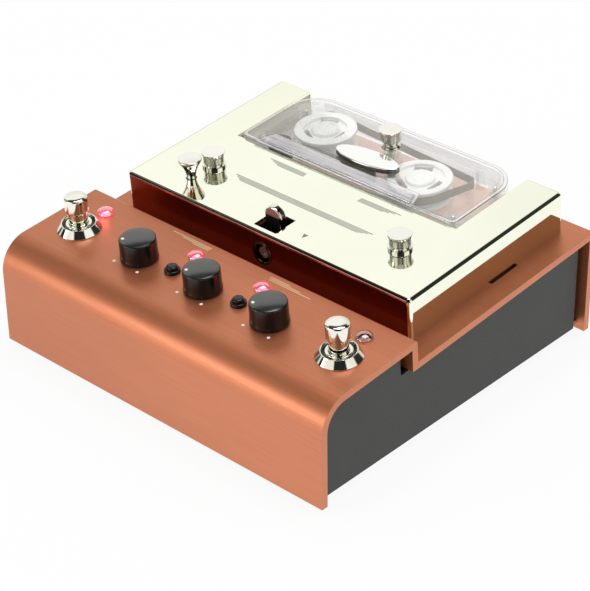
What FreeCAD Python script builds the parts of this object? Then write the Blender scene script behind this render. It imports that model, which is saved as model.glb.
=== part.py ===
"""Tape echo unit: a floor-standing echo with a folded case, a polished tape deck cover and a clear cassette.

All lengths are millimetres. X runs to the right, Y to the rear and Z up; the origin is under the middle of
the unit, on the surface that its feet stand on. The control panel, the ledge behind it and the tape deck
all lean forward by the same slope, so most pieces are drawn in the ledge's own frame: x to the right, y up
the slope from the front skirt, z square to the ledge's top face.
"""

import FreeCAD, Part

import math
import os
import re

import Sketcher

SHEET = "Dims"

# Driving dimensions: name, value, what it is.
DIMENSIONS = [
    ("width", 180.0, "case width"),
    ("depth", 170.0, "case depth over the two skirts"),
    ("sheet", 3.2, "thickness of the folded case sheet"),
    ("slope", 4.1, "forward lean of panel, ledge and deck, degrees"),
    ("ledge_lift", 36.0, "height of the ledge plane above the skirt's edge, carried forward to the front"),
    ("foot_proud", 1.5, "how far the feet stand below the skirts"),
    ("panel_rise", 10.25, "control panel above the ledge"),
    ("panel_reach", 55.9, "front skirt to the step"),
    ("bend_radius", 14.0, "outer radius of the big front bend"),
    ("fold_radius", 1.2, "outer radius of the small folds"),
    ("seam", 0.2, "gap between fixed panels"),
    ("cheek_inset", 2.5, "side panels set in from the shell's ends"),
    ("cheek_wall", 1.5, "thickness of a side panel"),
    ("cheek_lift", 2.5, "side panels and base above the skirt's edge"),
    ("cheek_flange", 10.0, "width of a side panel's bottom flange"),
    ("relief", 4.4, "relief slots of the side panels"),
    ("base_wall", 1.5, "thickness of the base plate"),
    ("screw_radius", 1.25, "small screw shank"),
    ("screw_head", 2.75, "small screw head"),
    ("screw_head_tall", 1.4, "small screw head height"),
    ("foot_radius", 6.0, "rubber foot"),
    ("foot_inset_side", 22.0, "foot centre from the side"),
    ("foot_inset_end", 20.0, "foot centre from the skirts"),
    ("control_y", 30.0, "row of knobs and footswitches"),
    ("switch_x", 72.9, "footswitch from the middle"),
    ("bushing_radius", 6.0, "footswitch bushing"),
    ("hole_gap", 0.2, "radial gap of a fixed piece in its hole"),
    ("run_gap", 0.06, "radial running clearance"),
    ("dress_radius", 9.6, "footswitch dress nut, at the panel"),
    ("dress_lip", 7.6, "footswitch dress nut, at its lip"),
    ("dress_tall", 3.3, "footswitch dress nut height"),
    ("bushing_neck", 5.6, "end of the footswitch bushing, inside the nut"),
    ("bushing_low", 0.2, "bushing end below the nut's lip"),
    ("plunger_radius", 5.0, "footswitch button head"),
    ("plunger_stem", 4.0, "footswitch button stem"),
    ("plunger_tall", 16.1, "footswitch button above the panel"),
    ("plunger_head", 7.6, "length of the footswitch button's head"),
    ("switch_box", 17.0, "footswitch body side"),
    ("switch_deep", 20.0, "footswitch body depth"),
    ("knob_pitch", 36.6, "spacing of the knobs"),
    ("knob_radius", 8.0, "knob body"),
    ("knob_skirt", 8.1, "knob bottom edge"),
    ("knob_lift", 0.4, "knob above the panel"),
    ("knob_top", 10.5, "knob top above the panel"),
    ("shaft_radius", 3.0, "potentiometer shaft"),
    ("pot_radius", 8.25, "potentiometer body"),
    ("pot_neck", 3.5, "potentiometer bushing"),
    ("pot_nut", 5.6, "potentiometer nut"),
    ("push_x", 18.6, "push button from the middle"),
    ("push_y", 31.2, "push button row"),
    ("push_collar", 3.4, "push button collar"),
    ("push_cap", 2.4, "push button cap"),
    ("push_tall", 3.1, "push button cap above the panel"),
    ("lamp_outer_x", 72.6, "outer lamp from the middle"),
    ("lamp_inner_x", 18.5, "inner lamp from the middle"),
    ("lamp_y", 44.8, "lamp row"),
    ("lamp_radius", 3.7, "lamp lens"),
    ("lamp_stem", 2.7, "lamp lens stem"),
    ("lamp_tall", 2.3, "lamp lens above the panel"),
    ("board_drop", 12.6, "panel face to the top of the control board"),
    ("board_wall", 1.6, "circuit board thickness"),
    ("board_gap", 4.0, "main board above the base plate"),
    ("cover_half", 78.9, "half the deck cover's width"),
    ("cover_front", 64.5, "deck cover front face"),
    ("cover_rear", 163.0, "deck cover rear face"),
    ("cover_top", 18.8, "deck cover top above the ledge"),
    ("cover_wall", 1.2, "deck cover sheet"),
    ("cover_fold", 1.6, "outer radius of the deck cover's top edges"),
    ("cover_corner", 2.0, "deck cover's upright corners"),
    ("tab_front", 115.4, "front end of the cover's locating tabs"),
    ("tab_long", 15.0, "length of the locating tabs"),
    ("slot_play", 1.0, "play of the tabs in the ledge slots"),
    ("bay_play", 1.6, "cassette to the sides of its bay"),
    ("bay_lead", 0.4, "cassette to the front of its bay"),
    ("liner_wall", 1.5, "bay lining"),
    ("lug", 7.5, "cassette seat lug, side length"),
    ("window_x", -0.9, "lock window centre"),
    ("window_front", 67.8, "front edge of the lock window"),
    ("window_side", 12.2, "lock window, side length"),
    ("tab_x", -2.4, "lock tab centre"),
    ("tab_face", 74.3, "front face of the lock tab"),
    ("tab_half", 4.6, "half the lock tab's width"),
    ("tab_thick", 3.5, "lock tab thickness"),
    ("tab_tall", 6.3, "lock tab above the deck"),
    ("slide_floor", 10.6, "underside of the lock slide"),
    ("slide_wall", 1.4, "lock slide thickness"),
    ("slide_front", 73.3, "front end of the lock slide"),
    ("slide_long", 17.0, "lock slide length"),
    ("slide_half", 7.0, "half the lock slide's width"),
    ("front_hole", 4.3, "radius of the hole in the deck's front face"),
    ("front_hole_z", 8.8, "height of that hole"),
    ("front_screw", 2.6, "head of the screw behind that hole"),
    ("front_head", 1.4, "height of that screw's head"),
    ("front_shank", 1.2, "shank of that screw"),
    ("guide_wall", 2.0, "front wall of the lock guide"),
    ("release_x", -53.0, "release knob"),
    ("release_y", 77.8, "release knob"),
    ("release_tall", 9.6, "release knob above the deck"),
    ("release_rim", 5.15, "release knob rim"),
    ("release_stem", 2.0, "release knob stem"),
    ("thumb_x", 52.1, "thumbscrew from the middle"),
    ("thumb_y", 90.8, "thumbscrew"),
    ("thumb_radius", 4.45, "thumbscrew knurled body"),
    ("thumb_rim", 5.05, "thumbscrew rim"),
    ("thumb_washer", 5.2, "thumbscrew washer"),
    ("washer_tall", 1.0, "thumbscrew washer thickness"),
    ("thumb_shoulder", 2.3, "thumbscrew head above its seat"),
    ("thumb_grip", 4.7, "knurled head height"),
    ("neck_radius", 3.5, "cassette thumbscrew neck"),
    ("neck_tall", 3.9, "cassette thumbscrew neck"),
    ("thread_radius", 2.0, "thumbscrew thread"),
    ("post_radius", 4.0, "threaded post"),
    ("capstan_x", -44.0, "capstan"),
    ("capstan_radius", 1.25, "capstan"),
    ("bearing_radius", 4.0, "capstan bearing"),
    ("flywheel_radius", 22.0, "flywheel"),
    ("flywheel_drop", 5.0, "ledge face to the flywheel's top"),
    ("flywheel_wall", 6.0, "flywheel thickness"),
    ("bridge_drop", 15.0, "ledge face to the transport bridge"),
    ("bridge_wall", 1.5, "transport bridge plate"),
    ("bridge_left", -72.0, "transport bridge left edge"),
    ("bridge_right", 34.0, "transport bridge right edge"),
    ("bridge_front", 92.0, "transport bridge front edge"),
    ("bridge_rear", 141.0, "transport bridge rear edge"),
    ("motor_x", 14.0, "motor"),
    ("motor_radius", 15.0, "motor can"),
    ("motor_tall", 17.5, "motor can"),
    ("motor_shaft", 1.0, "motor shaft"),
    ("pulley_radius", 4.0, "motor pulley groove"),
    ("belt_wall", 0.8, "belt thickness"),
    ("belt_tall", 2.0, "belt width"),
    ("belt_gap", 0.12, "belt to pulley"),
    ("tape_wall", 0.2, "tape ribbon thickness as drawn"),
    ("tape_tall", 3.81, "tape width"),
    ("tape_face", 118.0, "front face of the tape where it passes the heads"),
    ("tape_gap", 0.3, "tape to head, guide and roller"),
    ("head_wide", 9.0, "tape head"),
    ("head_deep", 12.0, "tape head"),
    ("head_tall", 7.8, "tape head"),
    ("head_pitch", 12.0, "spacing of the heads"),
    ("head_first", 6.0, "erase head, the first that the tape meets"),
    ("case_half", 59.6, "half the cassette's width"),
    ("case_front", 115.2, "cassette front edge"),
    ("case_rear", 161.3, "cassette rear edge"),
    ("case_floor", 7.8, "cassette underside above the ledge"),
    ("case_tall", 12.4, "cassette thickness"),
    ("case_split", 6.2, "height of the cassette's bottom half"),
    ("case_wall", 1.5, "cassette side wall"),
    ("case_plate", 1.3, "cassette top and bottom"),
    ("case_big_corner", 15.5, "cassette rear corners"),
    ("case_small_corner", 3.5, "cassette front corners"),
    ("case_boss", 2.8, "cassette screw boss"),
    ("case_head", 2.0, "cassette screw head"),
    ("case_head_tall", 1.2, "cassette screw head's top above the underside"),
    ("boss_inset", 6.4, "screw bosses from the cassette's ends"),
    ("boss_inset_front", 7.6, "front screw bosses from the cassette's front"),
    ("boss_inset_rear", 10.9, "rear screw bosses from the cassette's rear"),
    ("recess_left", -50.5, "left end of the head opening"),
    ("recess_right", 15.5, "right end of the head opening"),
    ("recess_rear", 118.6, "rear edge of the head opening"),
    ("ridge_tall", 0.7, "raised front ridge on the cassette"),
    ("case_screw_y", 146.4, "cassette thumbscrew"),
    ("reel_flange", 13.9, "reel flange"),
    ("reel_wall", 1.3, "reel flange thickness"),
    ("reel_play", 0.3, "reels to the cassette's top and bottom"),
    ("boss_rise", 0.3, "reel boss above the upper flange"),
    ("tape_rest", 0.9, "tape above the lower flange"),
    ("reel_bore", 2.6, "reel bore"),
    ("reel_left_x", -35.0, "left reel"),
    ("reel_left_y", 143.1, "left reel"),
    ("reel_left_drum", 10.5, "left reel drum"),
    ("reel_right_x", 23.8, "right reel"),
    ("reel_right_y", 137.1, "right reel"),
    ("reel_right_drum", 11.5, "right reel drum"),
    ("reel_boss", 6.3, "reel middle boss"),
    ("boss_dish", 4.9, "dish in the left reel's boss"),
    ("drum_wall", 0.9, "reel drum wall"),
    ("web_drop", 1.3, "reel web below the upper flange"),
    ("web_wall", 1.6, "reel web thickness"),
    ("web_slot", 8.0, "length of the slots in the reel web"),
    ("guide_radius", 2.2, "tape guide post"),
    ("guide_nip_x", 13.0, "guide post right of the heads"),
    ("guide_mid_x", 2.0, "guide post between the reels"),
    ("guide_right_x", 38.0, "rear right guide post"),
    ("guide_right_y", 151.3, "rear right guide post"),
    ("guide_left_x", -44.3, "rear left guide post"),
    ("guide_left_y", 156.8, "rear left guide post"),
    ("stay_x", 40.0, "clear stay between the cassette's halves"),
    ("stay_y", 157.3, "clear stay"),
    ("pinch_radius", 5.0, "pinch roller"),
    ("badge_half", 16.8, "half the oval plate's length"),
    ("badge_wide", 5.2, "half the oval plate's width"),
    ("badge_y", 131.0, "oval plate"),
    ("badge_tall", 2.5, "oval plate thickness"),
    ("jack_pitch", 22.0, "spacing of the jack sockets"),
    ("jack_first", -66.0, "first jack socket"),
    ("jack_z", 21.0, "socket row above the skirt's edge"),
    ("jack_bore", 3.2, "jack socket bore"),
    ("jack_neck", 5.0, "jack socket neck"),
    ("jack_half", 8.0, "half the jack socket's width"),
    ("jack_half_tall", 7.0, "half the jack socket's height"),
    ("jack_deep", 16.0, "jack socket depth behind the case"),
    ("nut_radius", 6.8, "jack nut"),
    ("nut_tall", 2.4, "jack nut"),
    ("inlet_x", 62.0, "power inlet"),
    ("inlet_bore", 2.75, "power inlet bore"),
    ("inlet_wall", 1.6, "power inlet barrel wall"),
    ("inlet_half", 5.5, "half the power inlet's width"),
    ("inlet_pin", 1.05, "power inlet centre pin"),
]

VALUES = {name: value for name, value, meaning in DIMENSIONS}

# Sizes that follow from the driving ones.
DERIVED = {
    "bay_half": "case_half + bay_play",
    "bay_front": "case_front - bay_lead",
    "boss_x": "case_half - boss_inset",
    "boss_front": "case_front + boss_inset_front",
    "boss_rear": "case_rear - boss_inset_rear",
    "reel_floor": "case_floor + case_plate + reel_play",
    "reel_tall": "case_tall - 2 * case_plate - 2 * reel_play",
    "tape_mid": "reel_floor + reel_wall + tape_rest + tape_tall / 2",
}

# Whole-number choices.
KNURL_GROOVES = 20
WEB_SLOTS = 3
JACK_COUNT = 4
PLAYBACK_HEADS = 2

doc = FreeCAD.newDocument("TapeEcho")
sheet = doc.addObject("Spreadsheet::Sheet", SHEET)
for row, (name, value, meaning) in enumerate(DIMENSIONS, start=1):
    sheet.set("A%d" % row, name)
    sheet.set("B%d" % row, str(value))
    sheet.setAlias("B%d" % row, name)
    sheet.set("C%d" % row, meaning)
doc.recompute()

nodes = []


# ---------------------------------------------------------------- expressions

def bind(text):
    """A formula in the sheet's names as a FreeCAD expression."""
    def name(match):
        word = match.group()
        if word in DERIVED:
            return "(%s)" % bind(DERIVED[word])
        return SHEET + "." + word if word in VALUES else word
    return re.sub(r"[a-z]\w*", name, str(text))


def value(text):
    """The number that a formula gives."""
    return float(sheet.evalExpression(bind(text)))


def plus(*terms):
    return " + ".join("(%s)" % term for term in terms)


def times(factor, term):
    return "%s * (%s)" % (factor, term)


# Front skirt in the unit's frame: the nuts on the back count in its depth.
FRONT = "-(depth + nut_tall) / 2"


def placement(x, y, z, angle):
    vector = "create(<<vector>>; %s; %s; %s)" % (x, y, z)
    turn = "create(<<rotation>>; create(<<vector>>; 1; 0; 0); %s)" % angle
    return bind("create(<<placement>>; %s; %s)" % (vector, turn))


def level(x="0", y="0", z="0"):
    """A place measured from the front skirt's lower edge, upright."""
    return placement(x, plus(FRONT, y), plus("foot_proud", z), "0")


def tilted(x="0", y="0", z="0"):
    """A place in the ledge's frame, leaning with it."""
    back = "(%s) * cos(slope) - (%s) * sin(slope)" % (y, z)
    up = "(%s) * sin(slope) + (%s) * cos(slope)" % (y, z)
    return placement(x, plus(FRONT, back), plus("foot_proud", "ledge_lift", up), "slope")


def on_slope(y, z):
    """A point of the ledge's frame as (y, z) from the front skirt's lower edge."""
    back = "(%s) * cos(slope) - (%s) * sin(slope)" % (y, z)
    up = "ledge_lift + (%s) * sin(slope) + (%s) * cos(slope)" % (y, z)
    return back, up


def slope_height(y, z):
    """Height, at distance y behind the front skirt, of the plane that lies z above the ledge."""
    return "ledge_lift + (%s) * tan(slope) + (%s) / cos(slope)" % (y, z)


# ---------------------------------------------------------------- features

def new_body(label, place):
    body = doc.addObject("PartDesign::Body", label)
    body.Label = label
    body.setExpression("Placement", place)
    return body


def sketch_on(body, role, offset="0"):
    """A sketch on one of the body's own planes, lifted along the plane's normal."""
    plane = next(p for p in body.Origin.OriginFeatures if p.Role == role)
    sketch = body.newObject("Sketcher::SketchObject", body.Label + "_sketch")
    sketch.AttachmentSupport = [(plane, "")]
    sketch.MapMode = "FlatFace"
    sketch.setExpression("AttachmentOffset.Base.z", bind(offset))
    return sketch


def sketch_on_slope(body, z):
    """A sketch in an upright body that lies z above the ledge plane and leans with it."""
    sketch = sketch_on(body, "XY_Plane")
    back, up = on_slope("0", z)
    sketch.setExpression("AttachmentOffset", placement("0", back, up, "slope"))
    return sketch


def fix(sketch, kind, spot, formula):
    index = sketch.addConstraint(Sketcher.Constraint(kind, *spot, value(formula)))
    sketch.setExpression("Constraints[%d]" % index, bind(formula))


def polygon(sketch, points):
    """A closed outline whose corners are tied to the sheet."""
    first = sketch.GeometryCount
    corners = [FreeCAD.Vector(value(x), value(y), 0) for x, y in points]
    count = len(corners)
    for i in range(count):
        sketch.addGeometry(Part.LineSegment(corners[i], corners[(i + 1) % count]), False)
    for i in range(count):
        sketch.addConstraint(Sketcher.Constraint("Coincident", first + i, 2, first + (i + 1) % count, 1))
    for i, (x, y) in enumerate(points):
        fix(sketch, "DistanceX", (-1, 1, first + i, 1), x)
        fix(sketch, "DistanceY", (-1, 1, first + i, 1), y)


def rectangle(sketch, left, front, right, rear):
    polygon(sketch, [(left, front), (right, front), (right, rear), (left, rear)])


def circle(sketch, x, y, radius):
    centre = FreeCAD.Vector(value(x), value(y), 0)
    index = sketch.addGeometry(Part.Circle(centre, FreeCAD.Vector(0, 0, 1), value(radius)), False)
    fix(sketch, "DistanceX", (-1, 1, index, 3), x)
    fix(sketch, "DistanceY", (-1, 1, index, 3), y)
    fix(sketch, "Radius", (index,), radius)


def ellipse(sketch, x, y, major, minor):
    """An ellipse whose long axis lies along x."""
    cx, cy = value(x), value(y)
    shape = Part.Ellipse(FreeCAD.Vector(cx + value(major), cy, 0), FreeCAD.Vector(cx, cy + value(minor), 0),
                         FreeCAD.Vector(cx, cy, 0))
    index = sketch.addGeometry(shape, False)
    sketch.exposeInternalGeometry(index)
    fix(sketch, "DistanceX", (-1, 1, index, 3), x)
    fix(sketch, "DistanceY", (-1, 1, index, 3), y)
    fix(sketch, "DistanceX", (index + 1, 2, index + 1, 1), times(2, major))
    sketch.addConstraint(Sketcher.Constraint("Horizontal", index + 1))
    fix(sketch, "DistanceY", (index + 2, 2, index + 2, 1), times(2, minor))


def add_feature(body, kind, sketch, length, side, backwards):
    feature = body.newObject(kind, body.Label + "_" + kind.split("::")[1].lower())
    feature.Profile = sketch
    feature.SideType = side
    feature.Reversed = backwards
    feature.setExpression("Length", bind(length))
    sketch.Visibility = False
    return feature


def pad(body, sketch, length, side="One side", backwards=False):
    return add_feature(body, "PartDesign::Pad", sketch, length, side, backwards)


def pocket(body, sketch, length, side="Symmetric", backwards=False):
    """A cut; it has to take material away."""
    doc.recompute()
    before = body.Shape.Volume
    feature = add_feature(body, "PartDesign::Pocket", sketch, length, side, backwards)
    doc.recompute()
    if not body.Shape.Volume < before:
        raise RuntimeError("a cut in %s takes nothing away" % body.Label)
    return feature


def revolve(body, points, kind="PartDesign::Revolution"):
    """An outline of (radius, height) pairs turned about the body's own upright axis."""
    sketch = sketch_on(body, "XZ_Plane")
    for outline in points:
        polygon(sketch, outline)
    feature = body.newObject(kind, body.Label + "_turned")
    feature.Profile = sketch
    feature.ReferenceAxis = (sketch, ["V_Axis"])
    feature.Angle = 360
    return feature


def edges_along(body, axis, spots):
    """Names of the body's straight edges that run along an axis through the given pairs of coordinates."""
    doc.recompute()
    along = "xyz".index(axis)
    across = [i for i in range(3) if i != along]
    names = []
    for number, edge in enumerate(body.Tip.Shape.Edges, start=1):
        if edge.Curve.TypeId != "Part::GeomLine":
            continue
        start, end = edge.Vertexes[0].Point, edge.Vertexes[-1].Point
        for spot in spots:
            level_start = all(abs(start[i] - value(s)) < 0.01 for i, s in zip(across, spot))
            level_end = all(abs(end[i] - value(s)) < 0.01 for i, s in zip(across, spot))
            if level_start and level_end:
                names.append("Edge%d" % number)
    if not names:
        raise RuntimeError("no edge of %s lies there" % body.Label)
    return names


def edges_where(body, wanted):
    """Names of the body's edges that pass a test, in the body's own frame."""
    doc.recompute()
    names = ["Edge%d" % number for number, edge in enumerate(body.Tip.Shape.Edges, start=1) if wanted(edge)]
    if not names:
        raise RuntimeError("%s has no such edge" % body.Label)
    return names


def dress(body, names, size, kind="PartDesign::Fillet"):
    """A fillet or a chamfer on the named edges."""
    solid = body.Tip
    feature = body.newObject(kind, body.Label + "_dressed")
    feature.Base = (solid, names)
    feature.setExpression("Size" if kind.endswith("Chamfer") else "Radius", bind(size))
    doc.recompute()
    return feature


def fillet(body, axis, spots, radius):
    return dress(body, edges_along(body, axis, spots), radius)


def around(body, feature, count):
    """The feature repeated evenly about the body's own upright axis."""
    pattern = body.newObject("PartDesign::PolarPattern", body.Label + "_pattern")
    pattern.Originals = [feature]
    pattern.Axis = (next(p for p in body.Origin.OriginFeatures if p.Role == "Z_Axis"), [""])
    pattern.Angle = 360
    pattern.Occurrences = count
    body.Tip = pattern
    return pattern


def turned(label, place, *outlines):
    body = new_body(label, place)
    revolve(body, outlines)
    return body


def prism(label, place, outline, floor, height):
    body = new_body(label, place)
    sketch = sketch_on(body, "XY_Plane", floor)
    polygon(sketch, outline)
    pad(body, sketch, height)
    return body


def box_outline(left, front, right, rear):
    return [(left, front), (right, front), (right, rear), (left, rear)]


def node(piece):
    nodes.append(piece)
    return piece


def group(label, pieces):
    """Like pieces that share one node, each still a solid of its own."""
    compound = doc.addObject("Part::Compound", label)
    compound.Label = label
    compound.Links = pieces
    return node(compound)


# ---------------------------------------------------------------- case

CHEEK_X = "width / 2 - cheek_inset - cheek_wall / 2"
BASE_HALF = "width / 2 - cheek_inset - cheek_wall - seam"
BASE_FLOOR = "cheek_lift"
BASE_TOP = "cheek_lift + base_wall"
JACK_XS = ["jack_first + %d * jack_pitch" % i for i in range(JACK_COUNT)]
BASE_SCREW_X = "width / 2 - cheek_inset - cheek_wall - cheek_flange / 2"
BASE_SCREW_YS = ("16", "depth / 2", "depth - 16")
LAMPS = (("-lamp_outer_x", "lamp_y"), ("-lamp_inner_x", "lamp_y"), ("lamp_inner_x", "lamp_y"),
         ("lamp_outer_x", "lamp_y"))
KNOBS = (("left", "-knob_pitch"), ("middle", "0"), ("right", "knob_pitch"))
SIDES = (("left", -1), ("right", 1))


def make_top_shell():
    body = new_body("top_shell", level())
    step_outer = "panel_reach"
    step_inner = "panel_reach - sheet"
    panel_inner = "panel_rise - sheet"
    profile = sketch_on(body, "YZ_Plane")
    polygon(profile, [
        ("0", "0"),
        ("0", slope_height("0", "panel_rise")),
        on_slope(step_outer, "panel_rise"),
        on_slope(step_outer, "0"),
        ("depth", slope_height("depth", "0")),
        ("depth", "0"),
        ("depth - sheet", "0"),
        ("depth - sheet", slope_height("depth - sheet", "-sheet")),
        on_slope(step_inner, "-sheet"),
        on_slope(step_inner, panel_inner),
        ("sheet", slope_height("sheet", panel_inner)),
        ("sheet", "0"),
    ])
    pad(body, profile, "width", "Symmetric")
    fillet(body, "x", [("sheet", slope_height("sheet", panel_inner))], "bend_radius - sheet")
    fillet(body, "x", [("0", slope_height("0", "panel_rise"))], "bend_radius")
    fillet(body, "x", [on_slope(step_outer, "panel_rise"), ("depth", slope_height("depth", "0"))], "fold_radius")

    panel = sketch_on_slope(body, "panel_rise - sheet / 2")
    for name, side in SIDES:
        circle(panel, times(side, "switch_x"), "control_y", "bushing_radius + hole_gap")
        circle(panel, times(side, "push_x"), "push_y", "push_collar - 0.6 + hole_gap")
    for name, x in KNOBS:
        circle(panel, x, "control_y", "pot_neck + hole_gap")
    for x, y in LAMPS:
        circle(panel, x, y, "lamp_stem + hole_gap")
    pocket(body, panel, "1.6 * sheet")

    ledge = sketch_on_slope(body, "-sheet / 2")
    circle(ledge, "capstan_x", CAPSTAN_Y, "bearing_radius + hole_gap")
    for name, side in SIDES:
        near, far = times(side, "cover_half - cover_wall - slot_play / 2"), times(side, "cover_half + slot_play")
        rectangle(ledge, near, "tab_front - slot_play", far, "tab_front + tab_long + slot_play")
    pocket(body, ledge, "1.6 * sheet")

    rear = sketch_on(body, "XZ_Plane", "-(depth - sheet / 2)")
    for x in JACK_XS:
        circle(rear, x, "jack_z", "jack_neck + hole_gap")
    circle(rear, "inlet_x", "jack_z", "inlet_bore + inlet_wall + hole_gap")
    pocket(body, rear, "1.6 * sheet")
    return node(body)


def make_side_panel(name, side):
    body = new_body("side_panel_" + name, level(times(side, CHEEK_X)))
    front, rear = "sheet + seam", "depth - sheet - relief"
    step = "panel_reach - sheet - relief"
    under_panel, under_ledge = "panel_rise - sheet - seam", "-sheet - seam"
    outline = sketch_on(body, "YZ_Plane")
    polygon(outline, [
        (front, BASE_FLOOR),
        (front, slope_height(front, under_panel)),
        on_slope(step, under_panel),
        on_slope(step, under_ledge),
        (rear, slope_height(rear, under_ledge)),
        (rear, BASE_FLOOR),
    ])
    pad(body, outline, "cheek_wall", "Symmetric")
    fillet(body, "x", [(front, slope_height(front, under_panel))], "bend_radius - sheet - seam")
    flange = sketch_on(body, "XY_Plane", BASE_TOP)
    inward = -side
    rectangle(flange, "0", front, times(inward, "cheek_wall / 2 + cheek_flange"), rear)
    for y in BASE_SCREW_YS:
        circle(flange, times(inward, "cheek_wall / 2 + cheek_flange / 2"), y, "screw_radius + hole_gap")
    pad(body, flange, "cheek_wall")
    return node(body)


def make_base():
    plate = prism("base_plate", level(), box_outline("-(%s)" % BASE_HALF, "sheet + seam", BASE_HALF,
                                                     "depth - sheet - seam"), BASE_FLOOR, "base_wall")
    holes = sketch_on(plate, "XY_Plane", BASE_FLOOR)
    for name, side in SIDES:
        for y in BASE_SCREW_YS:
            circle(holes, times(side, BASE_SCREW_X), y, "screw_radius + hole_gap")
    pocket(plate, holes, "3 * base_wall")
    studs = sketch_on(plate, "XY_Plane", BASE_TOP)
    for x in (BOARD_LEFT, BOARD_RIGHT):
        for y in (BOARD_FRONT, BOARD_REAR):
            inward_x = "(%s) * 0.94" % x
            inward_y = plus(y, "5" if y == BOARD_FRONT else "-5")
            circle(studs, inward_x, inward_y, "2.5")
    pad(plate, studs, "board_gap")
    node(plate)

    screws = []
    for name, side in SIDES:
        for y in BASE_SCREW_YS:
            screws.append(turned("base_screw", level(times(side, BASE_SCREW_X), y, BASE_FLOOR), [
                ("0", "-screw_head_tall"), ("screw_head * 0.8", "-screw_head_tall"),
                ("screw_head", "-screw_head_tall * 0.6"), ("screw_head", "0"), ("screw_radius", "0"),
                ("screw_radius", "base_wall + cheek_wall"), ("0", "base_wall + cheek_wall"),
            ]))
    group("base_screws", screws)

    feet = []
    for x in ("-(width / 2 - foot_inset_side)", "width / 2 - foot_inset_side"):
        for y in ("foot_inset_end", "depth - foot_inset_end"):
            feet.append(turned("foot", level(x, y, "-foot_proud"), [
                ("0", "0"), ("foot_radius - 1", "0"), ("foot_radius", "1"),
                ("foot_radius * 0.92", "foot_proud + cheek_lift"), ("0", "foot_proud + cheek_lift"),
            ]))
    group("rubber_feet", feet)


# ---------------------------------------------------------------- control panel

def make_footswitches():
    bodies, nuts = [], []
    for name, side in SIDES:
        place = tilted(times(side, "switch_x"), "control_y", "panel_rise")
        switch = turned("footswitch_body", place, [
            ("plunger_stem + run_gap", "-sheet - 9"), ("bushing_radius", "-sheet - 9"),
            ("bushing_radius", "-sheet - 2"), ("bushing_radius + 2.4", "-sheet - 2"),
            ("bushing_radius + 2.4", "-sheet"), ("bushing_radius", "-sheet"),
            ("bushing_radius", "dress_tall - 1.8"), ("bushing_neck", "dress_tall - 1.8"),
            ("bushing_neck", "dress_tall - bushing_low - 0.3"),
            ("bushing_neck - 0.3", "dress_tall - bushing_low"), ("plunger_stem + 0.3", "dress_tall - bushing_low"),
            ("plunger_stem + run_gap", "dress_tall - bushing_low - 0.25"),
        ])
        case = sketch_on(switch, "XY_Plane", "-sheet - 2")
        rectangle(case, "-switch_box / 2", "-switch_box / 2", "switch_box / 2", "switch_box / 2")
        circle(case, "0", "0", "plunger_stem + run_gap")
        pad(switch, case, "8", backwards=True)
        floor = sketch_on(switch, "XY_Plane", "-sheet - 10")
        rectangle(floor, "-switch_box / 2", "-switch_box / 2", "switch_box / 2", "switch_box / 2")
        pad(switch, floor, "switch_deep - 10", backwards=True)
        bodies.append(switch)
        nuts.append(turned("footswitch_nut", place, [
            ("bushing_radius + hole_gap", "0"), ("dress_radius", "0"), ("dress_radius", "0.35"),
            ("dress_lip", "dress_tall - 0.4"), ("dress_lip - 0.05", "dress_tall - 0.12"),
            ("dress_lip - 0.3", "dress_tall"), ("dress_lip - 0.6", "dress_tall - 0.15"),
            ("dress_lip - 0.9", "dress_tall - 1.6"), ("bushing_radius + hole_gap", "dress_tall - 1.8"),
        ]))
        node(turned("footswitch_button_" + name, place, [
            ("0", "-sheet - 6.5"), ("plunger_stem", "-sheet - 6.5"), ("plunger_stem", "plunger_tall - plunger_head"),
            ("plunger_radius - 0.35", "plunger_tall - plunger_head + 0.7"), ("plunger_radius", "plunger_tall - 1.2"),
            ("plunger_radius - 0.25", "plunger_tall - 0.5"), ("plunger_radius - 0.9", "plunger_tall - 0.1"),
            ("plunger_radius - 2.4", "plunger_tall"), ("0", "plunger_tall"),
        ]))
    group("footswitch_bodies", bodies)
    group("footswitch_nuts", nuts)


def make_knobs():
    pots = []
    for name, x in KNOBS:
        place = tilted(x, "control_y", "panel_rise")
        knob = turned("knob_" + name, place, [
            ("shaft_radius + run_gap", "knob_lift + 3.2"), ("pot_nut + 0.6", "knob_lift + 3.2"),
            ("pot_nut + 0.6", "knob_lift"), ("knob_skirt", "knob_lift"), ("knob_skirt", "knob_lift + 1.2"),
            ("knob_radius", "knob_lift + 1.7"), ("knob_radius - 0.35", "knob_top - 0.9"),
            ("knob_radius - 0.55", "knob_top - 0.3"), ("knob_radius - 1.1", "knob_top"),
            ("0", "knob_top"), ("0", "knob_top - 1.6"), ("shaft_radius + run_gap", "knob_top - 1.6"),
        ])
        dot = sketch_on(knob, "XY_Plane", "knob_top")
        reach = "knob_radius - 2.1"
        circle(dot, "-(%s) * sin(40)" % reach, "-(%s) * cos(40)" % reach, "0.55")
        pocket(knob, dot, "0.5")
        node(knob)
        node(turned("pot_shaft_" + name, place, [
            ("0", "-sheet - 6"), ("shaft_radius", "-sheet - 6"), ("shaft_radius", "knob_top - 2.2"),
            ("shaft_radius - 0.4", "knob_top - 1.8"), ("0", "knob_top - 1.8"),
        ]))
        pots.append(turned("potentiometer", place, [
            ("shaft_radius + run_gap", "-sheet - 6.3"), ("0", "-sheet - 6.3"), ("0", "-board_drop"),
            ("pot_radius", "-board_drop"), ("pot_radius", "-sheet"), ("pot_neck", "-sheet"),
            ("pot_neck", "0"), ("pot_nut", "0"), ("pot_nut", "2"), ("pot_neck", "2"),
            ("pot_neck", "2.8"), ("shaft_radius + run_gap", "2.8"),
        ]))
    group("potentiometers", pots)


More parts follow.
